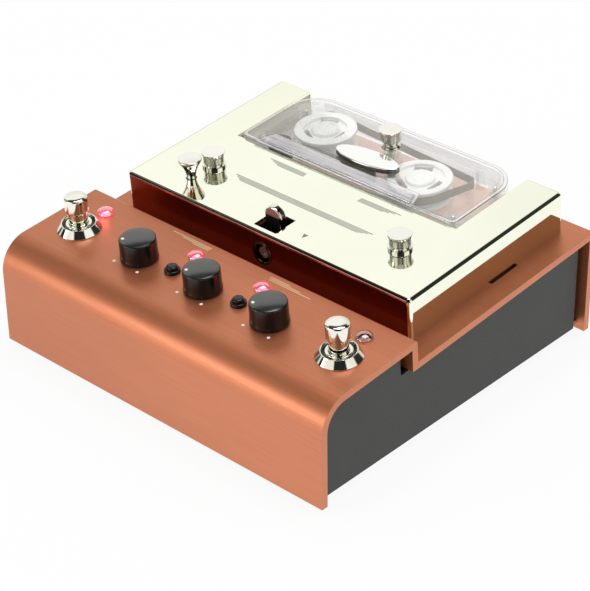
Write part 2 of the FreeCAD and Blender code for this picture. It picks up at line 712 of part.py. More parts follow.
def make_push_buttons():
    switches = []
    for name, side in SIDES:
        place = tilted(times(side, "push_x"), "push_y", "panel_rise")
        bush = "push_collar - 0.6"
        switches.append(turned("push_switch", place, [
            ("push_cap + run_gap", "-sheet - 2"), ("0", "-sheet - 2"), ("0", "-board_drop"),
            ("push_collar + 0.2", "-board_drop"), ("push_collar + 0.2", "-sheet"), (bush, "-sheet"), (bush, "0"),
            ("push_collar", "0"), ("push_collar", "1.1"), ("push_collar - 0.4", "1.5"),
            ("push_cap + run_gap", "1.5"),
        ]))
        node(turned("push_cap_" + name, place, [
            ("0", "-sheet - 0.6"), ("push_cap", "-sheet - 0.6"), ("push_cap", "push_tall - 0.6"),
            ("push_cap - 0.5", "push_tall - 0.1"), ("push_cap - 1.2", "push_tall"), ("0", "push_tall"),
        ]))
    group("push_switches", switches)


def make_lamps():
    lenses, leds = [], []
    for x, y in LAMPS:
        place = tilted(x, y, "panel_rise")
        lenses.append(turned("lamp_lens", place, [
            ("lamp_stem - 0.6", "-sheet - 1"), ("lamp_stem", "-sheet - 1"), ("lamp_stem", "0"),
            ("lamp_radius", "0"), ("lamp_radius", "0.5"), ("lamp_radius * 0.9", "lamp_tall * 0.62"),
            ("lamp_radius * 0.62", "lamp_tall * 0.88"), ("lamp_radius * 0.3", "lamp_tall"), ("0", "lamp_tall"),
            ("0", "-0.6"), ("lamp_stem - 0.6", "-0.6"),
        ]))
        leds.append(turned("lamp_led", place, [
            ("0", "-board_drop"), ("0.5", "-board_drop"), ("0.5", "-sheet - 3"), ("lamp_stem - 0.7", "-sheet - 3"),
            ("lamp_stem - 0.7", "-2.2"), ("lamp_stem * 0.5", "-1.1"), ("0", "-0.8"),
        ]))
    group("lamp_lenses", lenses)
    group("lamp_leds", leds)


# ---------------------------------------------------------------- circuit boards and sockets

BOARD_LEFT = "-(%s - 14)" % BASE_HALF
BOARD_RIGHT = "%s - 14" % BASE_HALF
BOARD_FRONT = "sheet + 16"
BOARD_REAR = "bridge_front"
BOARD_FLOOR = plus(BASE_TOP, "board_gap")


def make_boards():
    board = prism("main_board", level(), box_outline(BOARD_LEFT, BOARD_FRONT, BOARD_RIGHT, BOARD_REAR),
                  BOARD_FLOOR, "board_wall")
    chips = sketch_on(board, "XY_Plane", plus(BOARD_FLOOR, "board_wall"))
    for column in range(4):
        left = "%s * %g" % ("(%s)" % BOARD_RIGHT, -0.72 + 0.4 * column)
        rectangle(chips, left, "46", plus(left, "16"), "54")
        rectangle(chips, left, "66", plus(left, "9"), "75")
    pad(board, chips, "2.6")
    cans = sketch_on(board, "XY_Plane", plus(BOARD_FLOOR, "board_wall"))
    for column in range(5):
        circle(cans, "%s * %g" % ("(%s)" % BOARD_RIGHT, -0.6 + 0.3 * column), "32", "3.1")
    pad(board, cans, "8")
    node(board)

    half, wing = "switch_x - switch_box / 2 - 2", "lamp_outer_x + 4"
    front, rear, shoulder = "control_y - 10", "lamp_y + 4", "control_y + switch_box / 2 + 1.5"
    node(prism("control_board", tilted("0", "0", "panel_rise - board_drop - board_wall"), [
        ("-(%s)" % half, front), (half, front), (half, shoulder), (wing, shoulder), (wing, rear),
        ("-(%s)" % wing, rear), ("-(%s)" % wing, shoulder), ("-(%s)" % half, shoulder),
    ], "0", "board_wall"))


def make_sockets():
    sockets, nuts = [], []
    for x in JACK_XS:
        place = level(x, "depth", "jack_z")
        socket = new_body("jack_socket", place)
        neck = sketch_on(socket, "XZ_Plane", "-nut_tall")
        circle(neck, "0", "0", "jack_neck")
        circle(neck, "0", "0", "jack_bore")
        pad(socket, neck, "nut_tall + sheet")
        case = sketch_on(socket, "XZ_Plane", "sheet")
        rectangle(case, "-jack_half", "-jack_half_tall", "jack_half", "jack_half_tall")
        circle(case, "0", "0", "jack_bore")
        pad(socket, case, "jack_deep")
        back = sketch_on(socket, "XZ_Plane", "sheet + jack_deep")
        rectangle(back, "-jack_half", "-jack_half_tall", "jack_half", "jack_half_tall")
        pad(socket, back, "3")
        sockets.append(socket)
        nut = new_body("jack_nut", place)
        ring = sketch_on(nut, "XZ_Plane")
        polygon(ring, [("nut_radius * cos(%d)" % a, "nut_radius * sin(%d)" % a) for a in range(0, 360, 60)])
        circle(ring, "0", "0", "jack_neck + run_gap")
        pad(nut, ring, "nut_tall", backwards=True)
        nuts.append(nut)
    group("jack_sockets", sockets)
    group("jack_nuts", nuts)

    inlet = new_body("power_inlet", level("inlet_x", "depth", "jack_z"))
    neck = sketch_on(inlet, "XZ_Plane", "-0.6")
    circle(neck, "0", "0", "inlet_bore + inlet_wall")
    circle(neck, "0", "0", "inlet_bore")
    pad(inlet, neck, "sheet + 0.6")
    case = sketch_on(inlet, "XZ_Plane", "sheet")
    rectangle(case, "-inlet_half", "-inlet_half", "inlet_half", "inlet_half")
    circle(case, "0", "0", "inlet_bore")
    pad(inlet, case, "7")
    back = sketch_on(inlet, "XZ_Plane", "sheet + 7")
    rectangle(back, "-inlet_half", "-inlet_half", "inlet_half", "inlet_half")
    pad(inlet, back, "5")
    pin = sketch_on(inlet, "XZ_Plane", "1")
    circle(pin, "0", "0", "inlet_pin")
    pad(inlet, pin, "sheet + 7")
    node(inlet)


# ---------------------------------------------------------------- tape deck

CAPSTAN_Y = "tape_face - run_gap - capstan_radius"
POST_TOP = "cover_top - cover_wall - 0.1"


def make_deck_cover():
    cover = prism("deck_cover", tilted(), box_outline("-cover_half", "cover_front", "cover_half", "cover_rear"),
                  "0", "cover_top")
    corners = [(x, y) for x in ("-cover_half", "cover_half") for y in ("cover_front", "cover_rear")]
    fillet(cover, "z", corners, "cover_corner")
    height = value("cover_top")
    crest = edges_where(cover, lambda edge: edge.BoundBox.ZMin > height - 0.01)
    dress(cover, crest, "cover_fold", "PartDesign::Fillet")
    inside = sketch_on(cover, "XY_Plane")
    rectangle(inside, "-cover_half + cover_wall", "cover_front + cover_wall", "cover_half - cover_wall",
              "cover_rear - cover_wall")
    pocket(cover, inside, "cover_top - cover_wall", "One side", True)
    bay = sketch_on(cover, "XY_Plane")
    rectangle(bay, "-bay_half", "bay_front", "bay_half", "cover_rear + 2")
    pocket(cover, bay, "2 * cover_top + 2")

    tabs = sketch_on(cover, "XY_Plane")
    for name, side in SIDES:
        rectangle(tabs, times(side, "cover_half - cover_wall"), "tab_front", times(side, "cover_half"),
                  "tab_front + tab_long")
    pad(cover, tabs, "sheet", backwards=True)

    top = sketch_on(cover, "XY_Plane", "cover_top - cover_wall / 2")
    rectangle(top, "window_x - window_side / 2", "window_front", "window_x + window_side / 2",
              "window_front + window_side")
    circle(top, "release_x", "release_y", "release_stem + 0.35")
    for name, side in SIDES:
        circle(top, times(side, "thumb_x"), "thumb_y", "thread_radius + 0.35")
    pocket(cover, top, "3 * cover_wall")
    front = sketch_on(cover, "XZ_Plane", "-(cover_front + cover_wall / 2)")
    circle(front, "0", "front_hole_z", "front_hole")
    pocket(cover, front, "3 * cover_wall")
    face = value("cover_front")
    rim = edges_where(cover, lambda edge: edge.Curve.TypeId == "Part::GeomCircle"
                      and abs(edge.Curve.Radius - value("front_hole")) < 0.01
                      and abs(edge.Curve.Center.y - face) < 0.01)
    dress(cover, rim, "cover_wall / 3", "PartDesign::Chamfer")
    return node(cover)


def make_bay_liner():
    outer, inner = "bay_half + liner_wall", "bay_half"
    rear = "cover_rear - cover_wall - seam"
    liner = prism("bay_liner", tilted(), [
        ("-(%s)" % outer, "bay_front - liner_wall"), (outer, "bay_front - liner_wall"), (outer, rear),
        (inner, rear), (inner, "bay_front"), ("-(%s)" % inner, "bay_front"), ("-(%s)" % inner, rear),
        ("-(%s)" % outer, rear),
    ], "0", POST_TOP)
    lugs = sketch_on(liner, "XY_Plane")
    for name, side in SIDES:
        rectangle(lugs, times(side, "bay_half"), "bay_front", times(side, "bay_half - lug"), "bay_front + lug")
        rectangle(lugs, times(side, "bay_half"), plus(rear, "-lug"), times(side, "bay_half - lug"), rear)
    pad(liner, lugs, "case_floor")
    window = sketch_on(liner, "XZ_Plane", "-(bay_front - liner_wall / 2)")
    rectangle(window, "recess_left", "5", "recess_right", "cover_top")
    pocket(liner, window, "2 * liner_wall")
    return node(liner)


def knurled_head(body, floor, top):
    """Grooves round a thumbscrew's head."""
    cutter = sketch_on(body, "XY_Plane", floor)
    polygon(cutter, [("thumb_radius - 0.3", "0"), ("thumb_radius + 1", "0.65"), ("thumb_radius + 1", "-0.65")])
    groove = pocket(body, cutter, "(%s) - (%s)" % (top, floor), "One side", True)
    around(body, groove, KNURL_GROOVES)


def make_thumbscrew(label, x, y, seat, neck, head, reach):
    """A knurled screw that stands on its seat: the outline of its neck, the height of its head, its depth."""
    top = plus(head, "thumb_grip")
    screw = turned(label, tilted(x, y, seat), [
        ("0", times(-1, reach)), ("thread_radius - 0.4", times(-1, reach)),
        ("thread_radius", "0.4 - (%s)" % reach), ("thread_radius", "0"), *neck,
        ("thumb_radius", head), ("thumb_radius", "(%s) - 1.5" % top), ("thumb_rim", "(%s) - 0.5" % top),
        ("thumb_rim - 0.2", "(%s) - 0.1" % top), ("thumb_rim - 0.7", top), ("0", top),
    ])
    knurled_head(screw, plus(head, "0.15"), "(%s) - 1.5" % top)
    return node(screw)


def make_deck_controls():
    for name, side in SIDES:
        make_thumbscrew("thumbscrew_" + name, times(side, "thumb_x"), "thumb_y", "cover_top", [
            ("thumb_washer", "0"), ("thumb_washer", "washer_tall"), ("thumb_radius - 0.15", "washer_tall"),
            ("thumb_radius - 0.15", "thumb_shoulder"),
        ], "thumb_shoulder", "10")
    make_thumbscrew("cassette_screw", "0", "case_screw_y", CASE_TOP, [
        ("neck_radius + 0.6", "0"), ("neck_radius + 0.6", "0.7"), ("neck_radius + 0.2", "1.0"),
        ("neck_radius + 0.2", "neck_tall * 0.45"), ("neck_radius - 0.5", "neck_tall * 0.5"),
        ("neck_radius - 0.5", "neck_tall * 0.62"), ("neck_radius", "neck_tall * 0.68"), ("neck_radius", "neck_tall"),
    ], "neck_tall", "case_tall + 5")

    posts = []
    for x, y, height in (("-thumb_x", "thumb_y", POST_TOP), ("thumb_x", "thumb_y", POST_TOP),
                         ("0", "case_screw_y", "case_floor - 0.3"), ("release_x", "release_y", "10")):
        bore = "release_stem + run_gap" if x == "release_x" else "thread_radius + run_gap"
        posts.append(turned("deck_post", tilted(x, y), [
            ("0", "0"), ("post_radius", "0"), ("post_radius", "(%s) - 0.4" % height),
            ("post_radius - 0.4", height), (bore, height), (bore, "1.5"), ("0", "1.5"),
        ]))
    group("deck_posts", posts)

    node(turned("release_knob", tilted("release_x", "release_y", "cover_top"), [
        ("0", "-14.5"), ("release_stem - 0.4", "-14.5"), ("release_stem", "-14.1"),
        ("release_stem", "release_tall - 5.7"), ("release_stem + 0.7", "release_tall - 5.4"),
        ("release_stem + 1.1", "release_tall - 3.2"), ("release_stem + 1.7", "release_tall - 2.0"),
        ("release_rim - 0.25", "release_tall - 0.7"), ("release_rim", "release_tall - 0.35"),
        ("release_rim - 0.2", "release_tall"), ("release_rim - 0.9", "release_tall - 0.05"),
        ("1.5", "release_tall - 0.35"), ("0", "release_tall - 0.4"),
    ]))


def make_lock():
    tab = new_body("lock_tab", tilted())
    face = sketch_on(tab, "XZ_Plane", "-tab_face")
    shoulder = "cover_top + tab_tall - tab_half"
    rectangle(face, "tab_x - tab_half", "slide_floor + slide_wall", "tab_x + tab_half", shoulder)
    pad(tab, face, "tab_thick", backwards=True)
    crown = sketch_on(tab, "XZ_Plane", "-tab_face")
    circle(crown, "tab_x", shoulder, "tab_half")
    pad(tab, crown, "tab_thick", backwards=True)
    level_of_shoulder = value(shoulder)
    arcs = edges_where(tab, lambda edge: edge.Curve.TypeId == "Part::GeomCircle"
                       and edge.BoundBox.YLength < 0.01 and edge.BoundBox.ZMax > level_of_shoulder + 1)
    dress(tab, arcs, "tab_thick / 8", "PartDesign::Chamfer")
    node(tab)

    slide = prism("lock_slide", tilted(), box_outline("tab_x - slide_half", "slide_front", "tab_x + slide_half",
                                                      "slide_front + slide_long"), "slide_floor", "slide_wall")
    slot = sketch_on(slide, "XY_Plane", "slide_floor")
    rectangle(slot, "tab_x - 1.5", "slide_front + slide_long - 9", "tab_x + 1.5", "slide_front + slide_long - 2.5")
    pocket(slide, slot, "3 * slide_wall")
    node(slide)

    guide = new_body("lock_guide", tilted())
    front = "window_front - 1"
    reach, lip = "slide_half + 0.35", "slide_half - 1.6"
    shelf, top = "slide_floor - 0.3", "slide_floor + slide_wall + 1.0"
    outline = []
    for side in (1, -1):
        half = [("1.2 + (%s)" % reach, "0"), ("1.2 + (%s)" % reach, top), (reach, top), (reach, shelf), (lip, shelf),
                (lip, "1.2")]
        corners = [("tab_x + %d * (%s)" % (side, x), z) for x, z in half]
        outline += corners if side > 0 else corners[::-1]
    section = sketch_on(guide, "XZ_Plane", "-(%s)" % front)
    polygon(section, outline)
    pad(guide, section, "slide_front + slide_long - (%s)" % front, backwards=True)
    wall = sketch_on(guide, "XZ_Plane", "-(%s)" % front)
    rectangle(wall, "tab_x - (%s)" % lip, "1.2", "tab_x + %s" % lip, shelf)
    pad(guide, wall, "guide_wall", backwards=True)
    tapping = sketch_on(guide, "XZ_Plane", "-(%s)" % front)
    circle(tapping, "0", "front_hole_z", "front_shank")
    pocket(guide, tapping, "4 * guide_wall")
    node(guide)


def make_front_screw():
    """The socket screw behind the hole in the deck's front face; it goes into the lock guide."""
    screw = new_body("front_screw", tilted("0", "window_front - 1", "front_hole_z"))
    head = sketch_on(screw, "XZ_Plane")
    circle(head, "0", "0", "front_screw")
    pad(screw, head, "front_head")
    shank = sketch_on(screw, "XZ_Plane")
    circle(shank, "0", "0", "front_shank")
    pad(screw, shank, "guide_wall", backwards=True)
    socket = sketch_on(screw, "XZ_Plane", "front_head")
    polygon(socket, [("1.3 * cos(%d)" % a, "1.3 * sin(%d)" % a) for a in range(0, 360, 60)])
    pocket(screw, socket, "2 * 0.9")
    return node(screw)


# ---------------------------------------------------------------- transport

FLY_TOP = "-flywheel_drop"
FLY_FLOOR = "-flywheel_drop - flywheel_wall"
BRIDGE_FLOOR = "-bridge_drop - bridge_wall"
BELT_MID = "-flywheel_drop - flywheel_wall / 2"


def make_transport():
    node(turned("capstan", tilted("capstan_x", CAPSTAN_Y), [
        ("0", "-bridge_drop + 0.6"), ("capstan_radius", "-bridge_drop + 1.1"),
        ("capstan_radius", "cover_top - cover_wall - 0.9"), ("0", "cover_top - cover_wall - 0.5"),
    ]))
    node(turned("capstan_bearing", tilted("capstan_x", CAPSTAN_Y), [
        ("capstan_radius + run_gap", "-sheet - 1"), ("bearing_radius + 1.6", "-sheet - 1"),
        ("bearing_radius + 1.6", "-sheet"), ("bearing_radius", "-sheet"), ("bearing_radius", "0"),
        ("capstan_radius + run_gap", "0"),
    ]))
    rim, hub = "flywheel_radius", "6"
    web_top, web_floor = "%s - 1.4" % FLY_TOP, "%s + 1.4" % FLY_FLOOR
    node(turned("flywheel", tilted("capstan_x", CAPSTAN_Y), [
        ("capstan_radius + 0.01", "%s - 1.2" % FLY_FLOOR), (hub, "%s - 1.2" % FLY_FLOOR), (hub, web_floor),
        ("%s - 5" % rim, web_floor), ("%s - 5" % rim, FLY_FLOOR), (rim, FLY_FLOOR), (rim, FLY_TOP),
        ("%s - 5" % rim, FLY_TOP), ("%s - 5" % rim, web_top), (hub, web_top), (hub, FLY_TOP),
        ("capstan_radius + 0.01", FLY_TOP),
    ]))
    half_belt = "belt_tall / 2 + 0.4"
    groove, flange = "pulley_radius", "pulley_radius + 1.4"
    node(turned("motor_pulley", tilted("motor_x", CAPSTAN_Y), [
        ("0", "%s - 1.5" % BRIDGE_FLOOR), ("motor_shaft", "%s - 1.5" % BRIDGE_FLOOR),
        ("motor_shaft", "%s - (%s) - 1" % (BELT_MID, half_belt)),
        (flange, "%s - (%s) - 1" % (BELT_MID, half_belt)), (groove, "%s - (%s)" % (BELT_MID, half_belt)),
        (groove, "%s + %s" % (BELT_MID, half_belt)), (flange, "%s + %s + 1" % (BELT_MID, half_belt)),
        ("motor_shaft", "%s + %s + 1" % (BELT_MID, half_belt)), ("0", "%s + %s + 1" % (BELT_MID, half_belt)),
    ]))
    node(turned("motor", tilted("motor_x", CAPSTAN_Y), [
        ("0", "%s - motor_tall" % BRIDGE_FLOOR), ("motor_radius - 1.5", "%s - motor_tall" % BRIDGE_FLOOR),
        ("motor_radius", "%s - motor_tall + 1.5" % BRIDGE_FLOOR), ("motor_radius", BRIDGE_FLOOR),
        ("3", BRIDGE_FLOOR), ("3", "-bridge_drop + 0.6"), ("motor_shaft + run_gap", "-bridge_drop + 0.6"),
        ("motor_shaft + run_gap", "%s - 2" % BRIDGE_FLOOR), ("0", "%s - 2" % BRIDGE_FLOOR),
    ]))

    bridge = prism("transport_bridge", tilted(), box_outline("bridge_left", "bridge_front", "bridge_right",
                                                             "bridge_rear"), BRIDGE_FLOOR, "bridge_wall")
    opening = sketch_on(bridge, "XY_Plane", BRIDGE_FLOOR)
    circle(opening, "motor_x", CAPSTAN_Y, "3 + hole_gap")
    pocket(bridge, opening, "3 * bridge_wall")
    pad_sketch = sketch_on(bridge, "XY_Plane", "-bridge_drop")
    circle(pad_sketch, "capstan_x", CAPSTAN_Y, "4")
    pad(bridge, pad_sketch, "0.5")
    node(bridge)
    posts = []
    for x in ("bridge_left + 4", "bridge_right - 4"):
        for y in ("bridge_front + 4", "bridge_rear - 4"):
            posts.append(turned("bridge_post", tilted(x, y), [
                ("0", "-bridge_drop"), ("2.5", "-bridge_drop"), ("2.5", "-sheet"), ("0", "-sheet"),
            ]))
    group("bridge_posts", posts)


def head_block(label, x):
    """A tape head: a screened block with a rounded nose that meets the tape."""
    floor = "tape_mid - tape_tall / 2 - 2.9"
    nose = "tape_face - tape_gap"
    back = "%s - head_deep" % nose
    head = prism(label, tilted(x), box_outline("-head_wide / 2", back, "head_wide / 2", "%s - 3.4" % nose),
                 floor, "head_tall")
    front = sketch_on(head, "XY_Plane", floor)
    rectangle(front, "-head_wide * 0.3", "%s - 4" % nose, "head_wide * 0.3", nose)
    pad(head, front, "head_tall")
    fillet(head, "z", [("-head_wide * 0.3", nose), ("head_wide * 0.3", nose)], "head_wide * 0.27")
    return head


def make_heads():
    node(head_block("erase_head", "head_first"))
    node(head_block("record_head", "head_first - head_pitch"))
    group("playback_heads", [head_block("playback_head", "head_first - %d * head_pitch" % (2 + i))
                             for i in range(PLAYBACK_HEADS)])
    top = "tape_mid - tape_tall / 2 - 2.9"
    left = "head_first - 3 * head_pitch - head_wide / 2 - 1"
    right = "head_first + head_wide / 2 + 1"
    bridge = new_body("head_bridge", tilted())
    section = sketch_on(bridge, "XZ_Plane", "-(tape_face - tape_gap - head_deep + 1)")
    polygon(section, [
        ("%s - 4" % left, "0"), (left, "0"), (left, "%s - 1.5" % top), (right, "%s - 1.5" % top), (right, "0"),
        ("%s + 4" % right, "0"), ("%s + 4" % right, "1.5"), ("%s + 1.5" % right, "1.5"), ("%s + 1.5" % right, top),
        ("%s - 1.5" % left, top), ("%s - 1.5" % left, "1.5"), ("%s - 4" % left, "1.5"),
    ])
    pad(bridge, section, "head_deep - 6", backwards=True)
    node(bridge)


def loop_wire(circles, floor):
    """A closed path of straight runs and arcs round circles of (x, y, signed radius), taken in order.

    A positive radius is turned about anticlockwise, a negative one clockwise."""
    runs = []
    for (x0, y0, r0), (x1, y1, r1) in zip(circles, circles[1:] + circles[:1]):
        reach = math.hypot(x1 - x0, y1 - y0)
        heading = math.atan2(y1 - y0, x1 - x0) - math.asin((r1 - r0) / reach)
        side = FreeCAD.Vector(-math.sin(heading), math.cos(heading), 0)
        start = FreeCAD.Vector(x0, y0, floor) - side * r0
        end = FreeCAD.Vector(x1, y1, floor) - side * r1
        runs.append((start, end))
    edges = []
    for index, (x, y, radius) in enumerate(circles):
        arrive, leave = runs[index - 1][1], runs[index][0]
        first = math.atan2(arrive.y - y, arrive.x - x)
        last = math.atan2(leave.y - y, leave.x - x)
        sweep = (last - first) % (2 * math.pi)
        if radius < 0:
            sweep -= 2 * math.pi
        middle = first + sweep / 2
        crest = FreeCAD.Vector(x + abs(radius) * math.cos(middle), y + abs(radius) * math.sin(middle), floor)
        edges.append(Part.Arc(arrive, crest, leave).toShape())
        edges.append(Part.makeLine(*runs[index]))
    return Part.Wire(edges)


def ribbon(label, circles, thickness, floor, height):
    """A closed band round circles of (x, y, radius, way), where way is 1 inside the loop and -1 outside it."""
    inner = [(x, y, r if way > 0 else -(r + thickness)) for x, y, r, way in circles]
    outer = [(x, y, r + thickness if way > 0 else -r) for x, y, r, way in circles]
    face = Part.makeFace([loop_wire(outer, floor), loop_wire(inner, floor)], "Part::FaceMakerBullseye")
    band = doc.addObject("Part::Feature", label)
    band.Label = label
    band.Shape = face.extrude(FreeCAD.Vector(0, 0, height))
    band.setExpression("Placement", tilted())
    return node(band)


def make_belt():
    gap = value("belt_gap")
    y = value(CAPSTAN_Y)
    ribbon("drive_belt", [
        (value("capstan_x"), y, value("flywheel_radius") + gap, 1),
        (value("motor_x"), y, value("pulley_radius") + gap, 1),
    ], value("belt_wall"), value("%s - belt_tall / 2" % BELT_MID), value("belt_tall"))


# ---------------------------------------------------------------- cassette

CASE_TOP = "case_floor + case_tall"
SPLIT = "case_floor + case_split"
PINCH_Y = "tape_face + tape_wall + tape_gap + pinch_radius"
GUIDE_NIP_Y = "tape_face + tape_wall + tape_gap + guide_radius"
GUIDE_MID_Y = "reel_left_y - reel_left_drum - 2 * tape_gap - tape_wall - guide_radius"
BOSSES = [(x, y) for x in ("-boss_x", "boss_x") for y in ("boss_front", "boss_rear")]
SPINDLES = (("reel_left_x", "reel_left_y"), ("reel_right_x", "reel_right_y"))


def case_half_shell(label, floor, height, open_up):
    """Half of the cassette: a plate with a wall round it, rounded corners, screw bosses and spindles."""
    shell = prism(label, tilted(), box_outline("-case_half", "case_front", "case_half", "case_rear"), floor, height)
    rim = plus(floor, height) if open_up else floor
    room = sketch_on(shell, "XY_Plane", rim)
    left, right = "-case_half + case_wall", "case_half - case_wall"
    front, rear = "case_front + case_wall", "case_rear - case_wall"
    rectangle(room, left, front, right, rear)
    pocket(shell, room, "%s - case_plate" % height, "One side", not open_up)
    fillet(shell, "z", [(x, rear) for x in (left, right)], "case_big_corner - case_wall")
    fillet(shell, "z", [(x, front) for x in (left, right)], "case_small_corner - case_wall")
    fillet(shell, "z", [(x, "case_rear") for x in ("-case_half", "case_half")], "case_big_corner")
    fillet(shell, "z", [(x, "case_front") for x in ("-case_half", "case_half")], "case_small_corner")
    return shell


def make_cassette():
    bottom = case_half_shell("case_bottom", "case_floor", "case_split", True)
    floor = "case_floor + case_plate"
    bosses = sketch_on(bottom, "XY_Plane", floor)
    for x, y in BOSSES:
        circle(bosses, x, y, "case_boss")
    circle(bosses, "0", "case_screw_y", "thread_radius + 1.9")
    pad(bottom, bosses, "case_split - case_plate")
    spindles = sketch_on(bottom, "XY_Plane", floor)
    for x, y in SPINDLES:
        circle(spindles, x, y, "reel_bore - run_gap")
    pad(bottom, spindles, "reel_floor + reel_tall - 2.4 - (%s)" % floor)
    pins = sketch_on(bottom, "XY_Plane", floor)
    circle(pins, "capstan_x", PINCH_Y, "1.5 - run_gap")
    circle(pins, "stay_x", "stay_y", "guide_radius")
    pad(bottom, pins, "case_tall - 2 * case_plate - 0.3")
    holes = sketch_on(bottom, "XY_Plane", "case_floor")
    for x, y in BOSSES:
        circle(holes, x, y, "screw_radius - 0.2")
    circle(holes, "0", "case_screw_y", "thread_radius + 0.4")
    pocket(bottom, holes, "3 * case_split")
    sinks = sketch_on(bottom, "XY_Plane", "case_floor")
    for x, y in BOSSES:
        circle(sinks, x, y, "case_head + seam")
    pocket(bottom, sinks, "2 * case_head_tall")
    mouth = sketch_on(bottom, "XY_Plane", "case_floor")
    rectangle(mouth, "recess_left", "case_front - 1", "recess_right", "recess_rear")
    pocket(bottom, mouth, "3 * case_split")
    node(bottom)

    top = case_half_shell("case_top", SPLIT, "case_tall - case_split", False)
    bosses = sketch_on(top, "XY_Plane", SPLIT)
    for x, y in BOSSES:
        circle(bosses, x, y, "case_boss")
        circle(bosses, x, y, "screw_radius - 0.2")
    circle(bosses, "0", "case_screw_y", "thread_radius + 1.9")
    pad(top, bosses, "case_tall - case_split - case_plate")
    hole = sketch_on(top, "XY_Plane", SPLIT)
    circle(hole, "0", "case_screw_y", "thread_radius + 0.4")
    pocket(top, hole, "3 * case_tall")
    mouth = sketch_on(top, "XY_Plane", SPLIT)
    rectangle(mouth, "recess_left", "case_front - 1", "recess_right", "case_front + case_wall")
    pocket(top, mouth, "case_tall - case_split - case_plate", "One side", True)
    ridge = sketch_on(top, "XY_Plane", CASE_TOP)
    polygon(ridge, [("recess_left + 2", "case_front + 1.2"), ("recess_right + 20", "case_front + 1.2"),
                    ("recess_right + 17.5", "case_front + 7.4"), ("recess_left + 4.5", "case_front + 7.4")])
    pad(top, ridge, "ridge_tall")
    node(top)

    screws = []
    for x, y in BOSSES:
        screws.append(turned("case_screw", tilted(x, y, "case_floor"), [
            ("0", "0.2"), ("case_head", "0.2"), ("case_head", "case_head_tall"),
            ("screw_radius - 0.25", "case_head_tall"), ("screw_radius - 0.25", "case_tall - case_plate - 1"),
            ("0", "case_tall - case_plate - 0.6"),
        ]))
    group("case_screws", screws)

    for name, (x, y) in zip(("left", "right"), SPINDLES):
        make_reel(name, x, y)
    low, high = "%s + 0.4" % floor, "%s - case_plate - 0.4" % CASE_TOP
    node(turned("pinch_roller", tilted("capstan_x", PINCH_Y), [
        ("1.5", low), ("pinch_radius - 0.3", low), ("pinch_radius", "%s + 0.3" % low),
        ("pinch_radius", "%s - 0.3" % high), ("pinch_radius - 0.3", high), ("1.5", high),
    ]))
    guides = []
    for x, y in GUIDES:
        guides.append(turned("guide_post", tilted(x, y), [
            ("0", floor), ("guide_radius", floor), ("guide_radius", "%s - case_plate - 0.05" % CASE_TOP),
            ("0", "%s - case_plate - 0.05" % CASE_TOP),
        ]))
    group("guide_posts", guides)

    badge = new_body("case_badge", tilted("0", "badge_y", CASE_TOP))
    oval = sketch_on(badge, "XY_Plane")
    ellipse(oval, "0", "0", "badge_half", "badge_wide")
    pad(badge, oval, "badge_tall")
    crest = edges_where(badge, lambda edge: edge.Curve.TypeId == "Part::GeomEllipse"
                        and edge.BoundBox.ZMin > value("badge_tall") / 2)
    dress(badge, crest, "badge_tall / 4")
    node(badge)


GUIDES = (("guide_nip_x", GUIDE_NIP_Y), ("guide_mid_x", GUIDE_MID_Y), ("guide_right_x", "guide_right_y"),
          ("guide_left_x", "guide_left_y"))


BOSS_TOPS = {
    # a shallow dish on the left, a low dome on the right
    "left": [("boss_dish + 0.5", "reel_tall"), ("boss_dish", "reel_tall - 0.3"), ("boss_dish - 0.4", "reel_tall - 0.7"),
             ("0", "reel_tall - 0.7")],
    "right": [("reel_boss - 1", "reel_tall - 0.2"), ("reel_boss - 3", "reel_tall"), ("0", "reel_tall")],
}


def make_reel(name, x, y):
    """A reel: two flanges on a drum, joined to its boss by a slotted web."""
    drum = "reel_%s_drum" % name
    inside = "%s - drum_wall" % drum
    flange_top = "reel_tall - boss_rise"
    web_top = "%s - web_drop" % flange_top
    web_floor = "%s - web_wall" % web_top
    bore_top = "reel_tall - 2.1"
    reel = turned("reel_" + name, tilted(x, y, "reel_floor"), [
        ("reel_bore", "0"), ("reel_boss", "0"), ("reel_boss", web_floor), (inside, web_floor), (inside, "0"),
        ("reel_flange", "0"), ("reel_flange", "reel_wall"), (drum, "reel_wall"),
        (drum, "%s - reel_wall" % flange_top), ("reel_flange", "%s - reel_wall" % flange_top),
        ("reel_flange", "%s - 0.2" % flange_top), ("reel_flange - 0.2", flange_top), (inside, flange_top),
        (inside, web_top), ("reel_boss", web_top), ("reel_boss", "reel_tall - 0.7"), ("reel_boss - 0.3", "reel_tall - 0.3"),
        *BOSS_TOPS[name], ("0", bore_top), ("reel_bore", bore_top),
    ])
    slot = sketch_on(reel, "XY_Plane", web_top)
    rectangle(slot, "reel_boss + 0.6", "-web_slot / 2", "%s - 0.5" % inside, "web_slot / 2")
    around(reel, pocket(reel, slot, "3 * web_wall"), WEB_SLOTS)
    node(reel)


def make_tape():
    gap = value("tape_gap")
    wound = {
        "pinch": (value("capstan_x"), value(PINCH_Y), value("pinch_radius") + gap, 1),
        "nip": (value("guide_nip_x"), value(GUIDE_NIP_Y), value("guide_radius") + gap, 1),
        "right_reel": (value("reel_right_x"), value("reel_right_y"), value("reel_right_drum") + gap, 1),
        "right_guide": (value("guide_right_x"), value("guide_right_y"), value("guide_radius") + gap, 1),
        "left_guide": (value("guide_left_x"), value("guide_left_y"), value("guide_radius") + gap, 1),
        "left_reel": (value("reel_left_x"), value("reel_left_y"), value("reel_left_drum") + gap, 1),
        "mid_guide": (value("guide_mid_x"), value(GUIDE_MID_Y), value("guide_radius") + gap, -1),
    }
    ribbon("tape_loop", list(wound.values()), value("tape_wall"), value("tape_mid - tape_tall / 2"),
           value("tape_tall"))


# ---------------------------------------------------------------- build

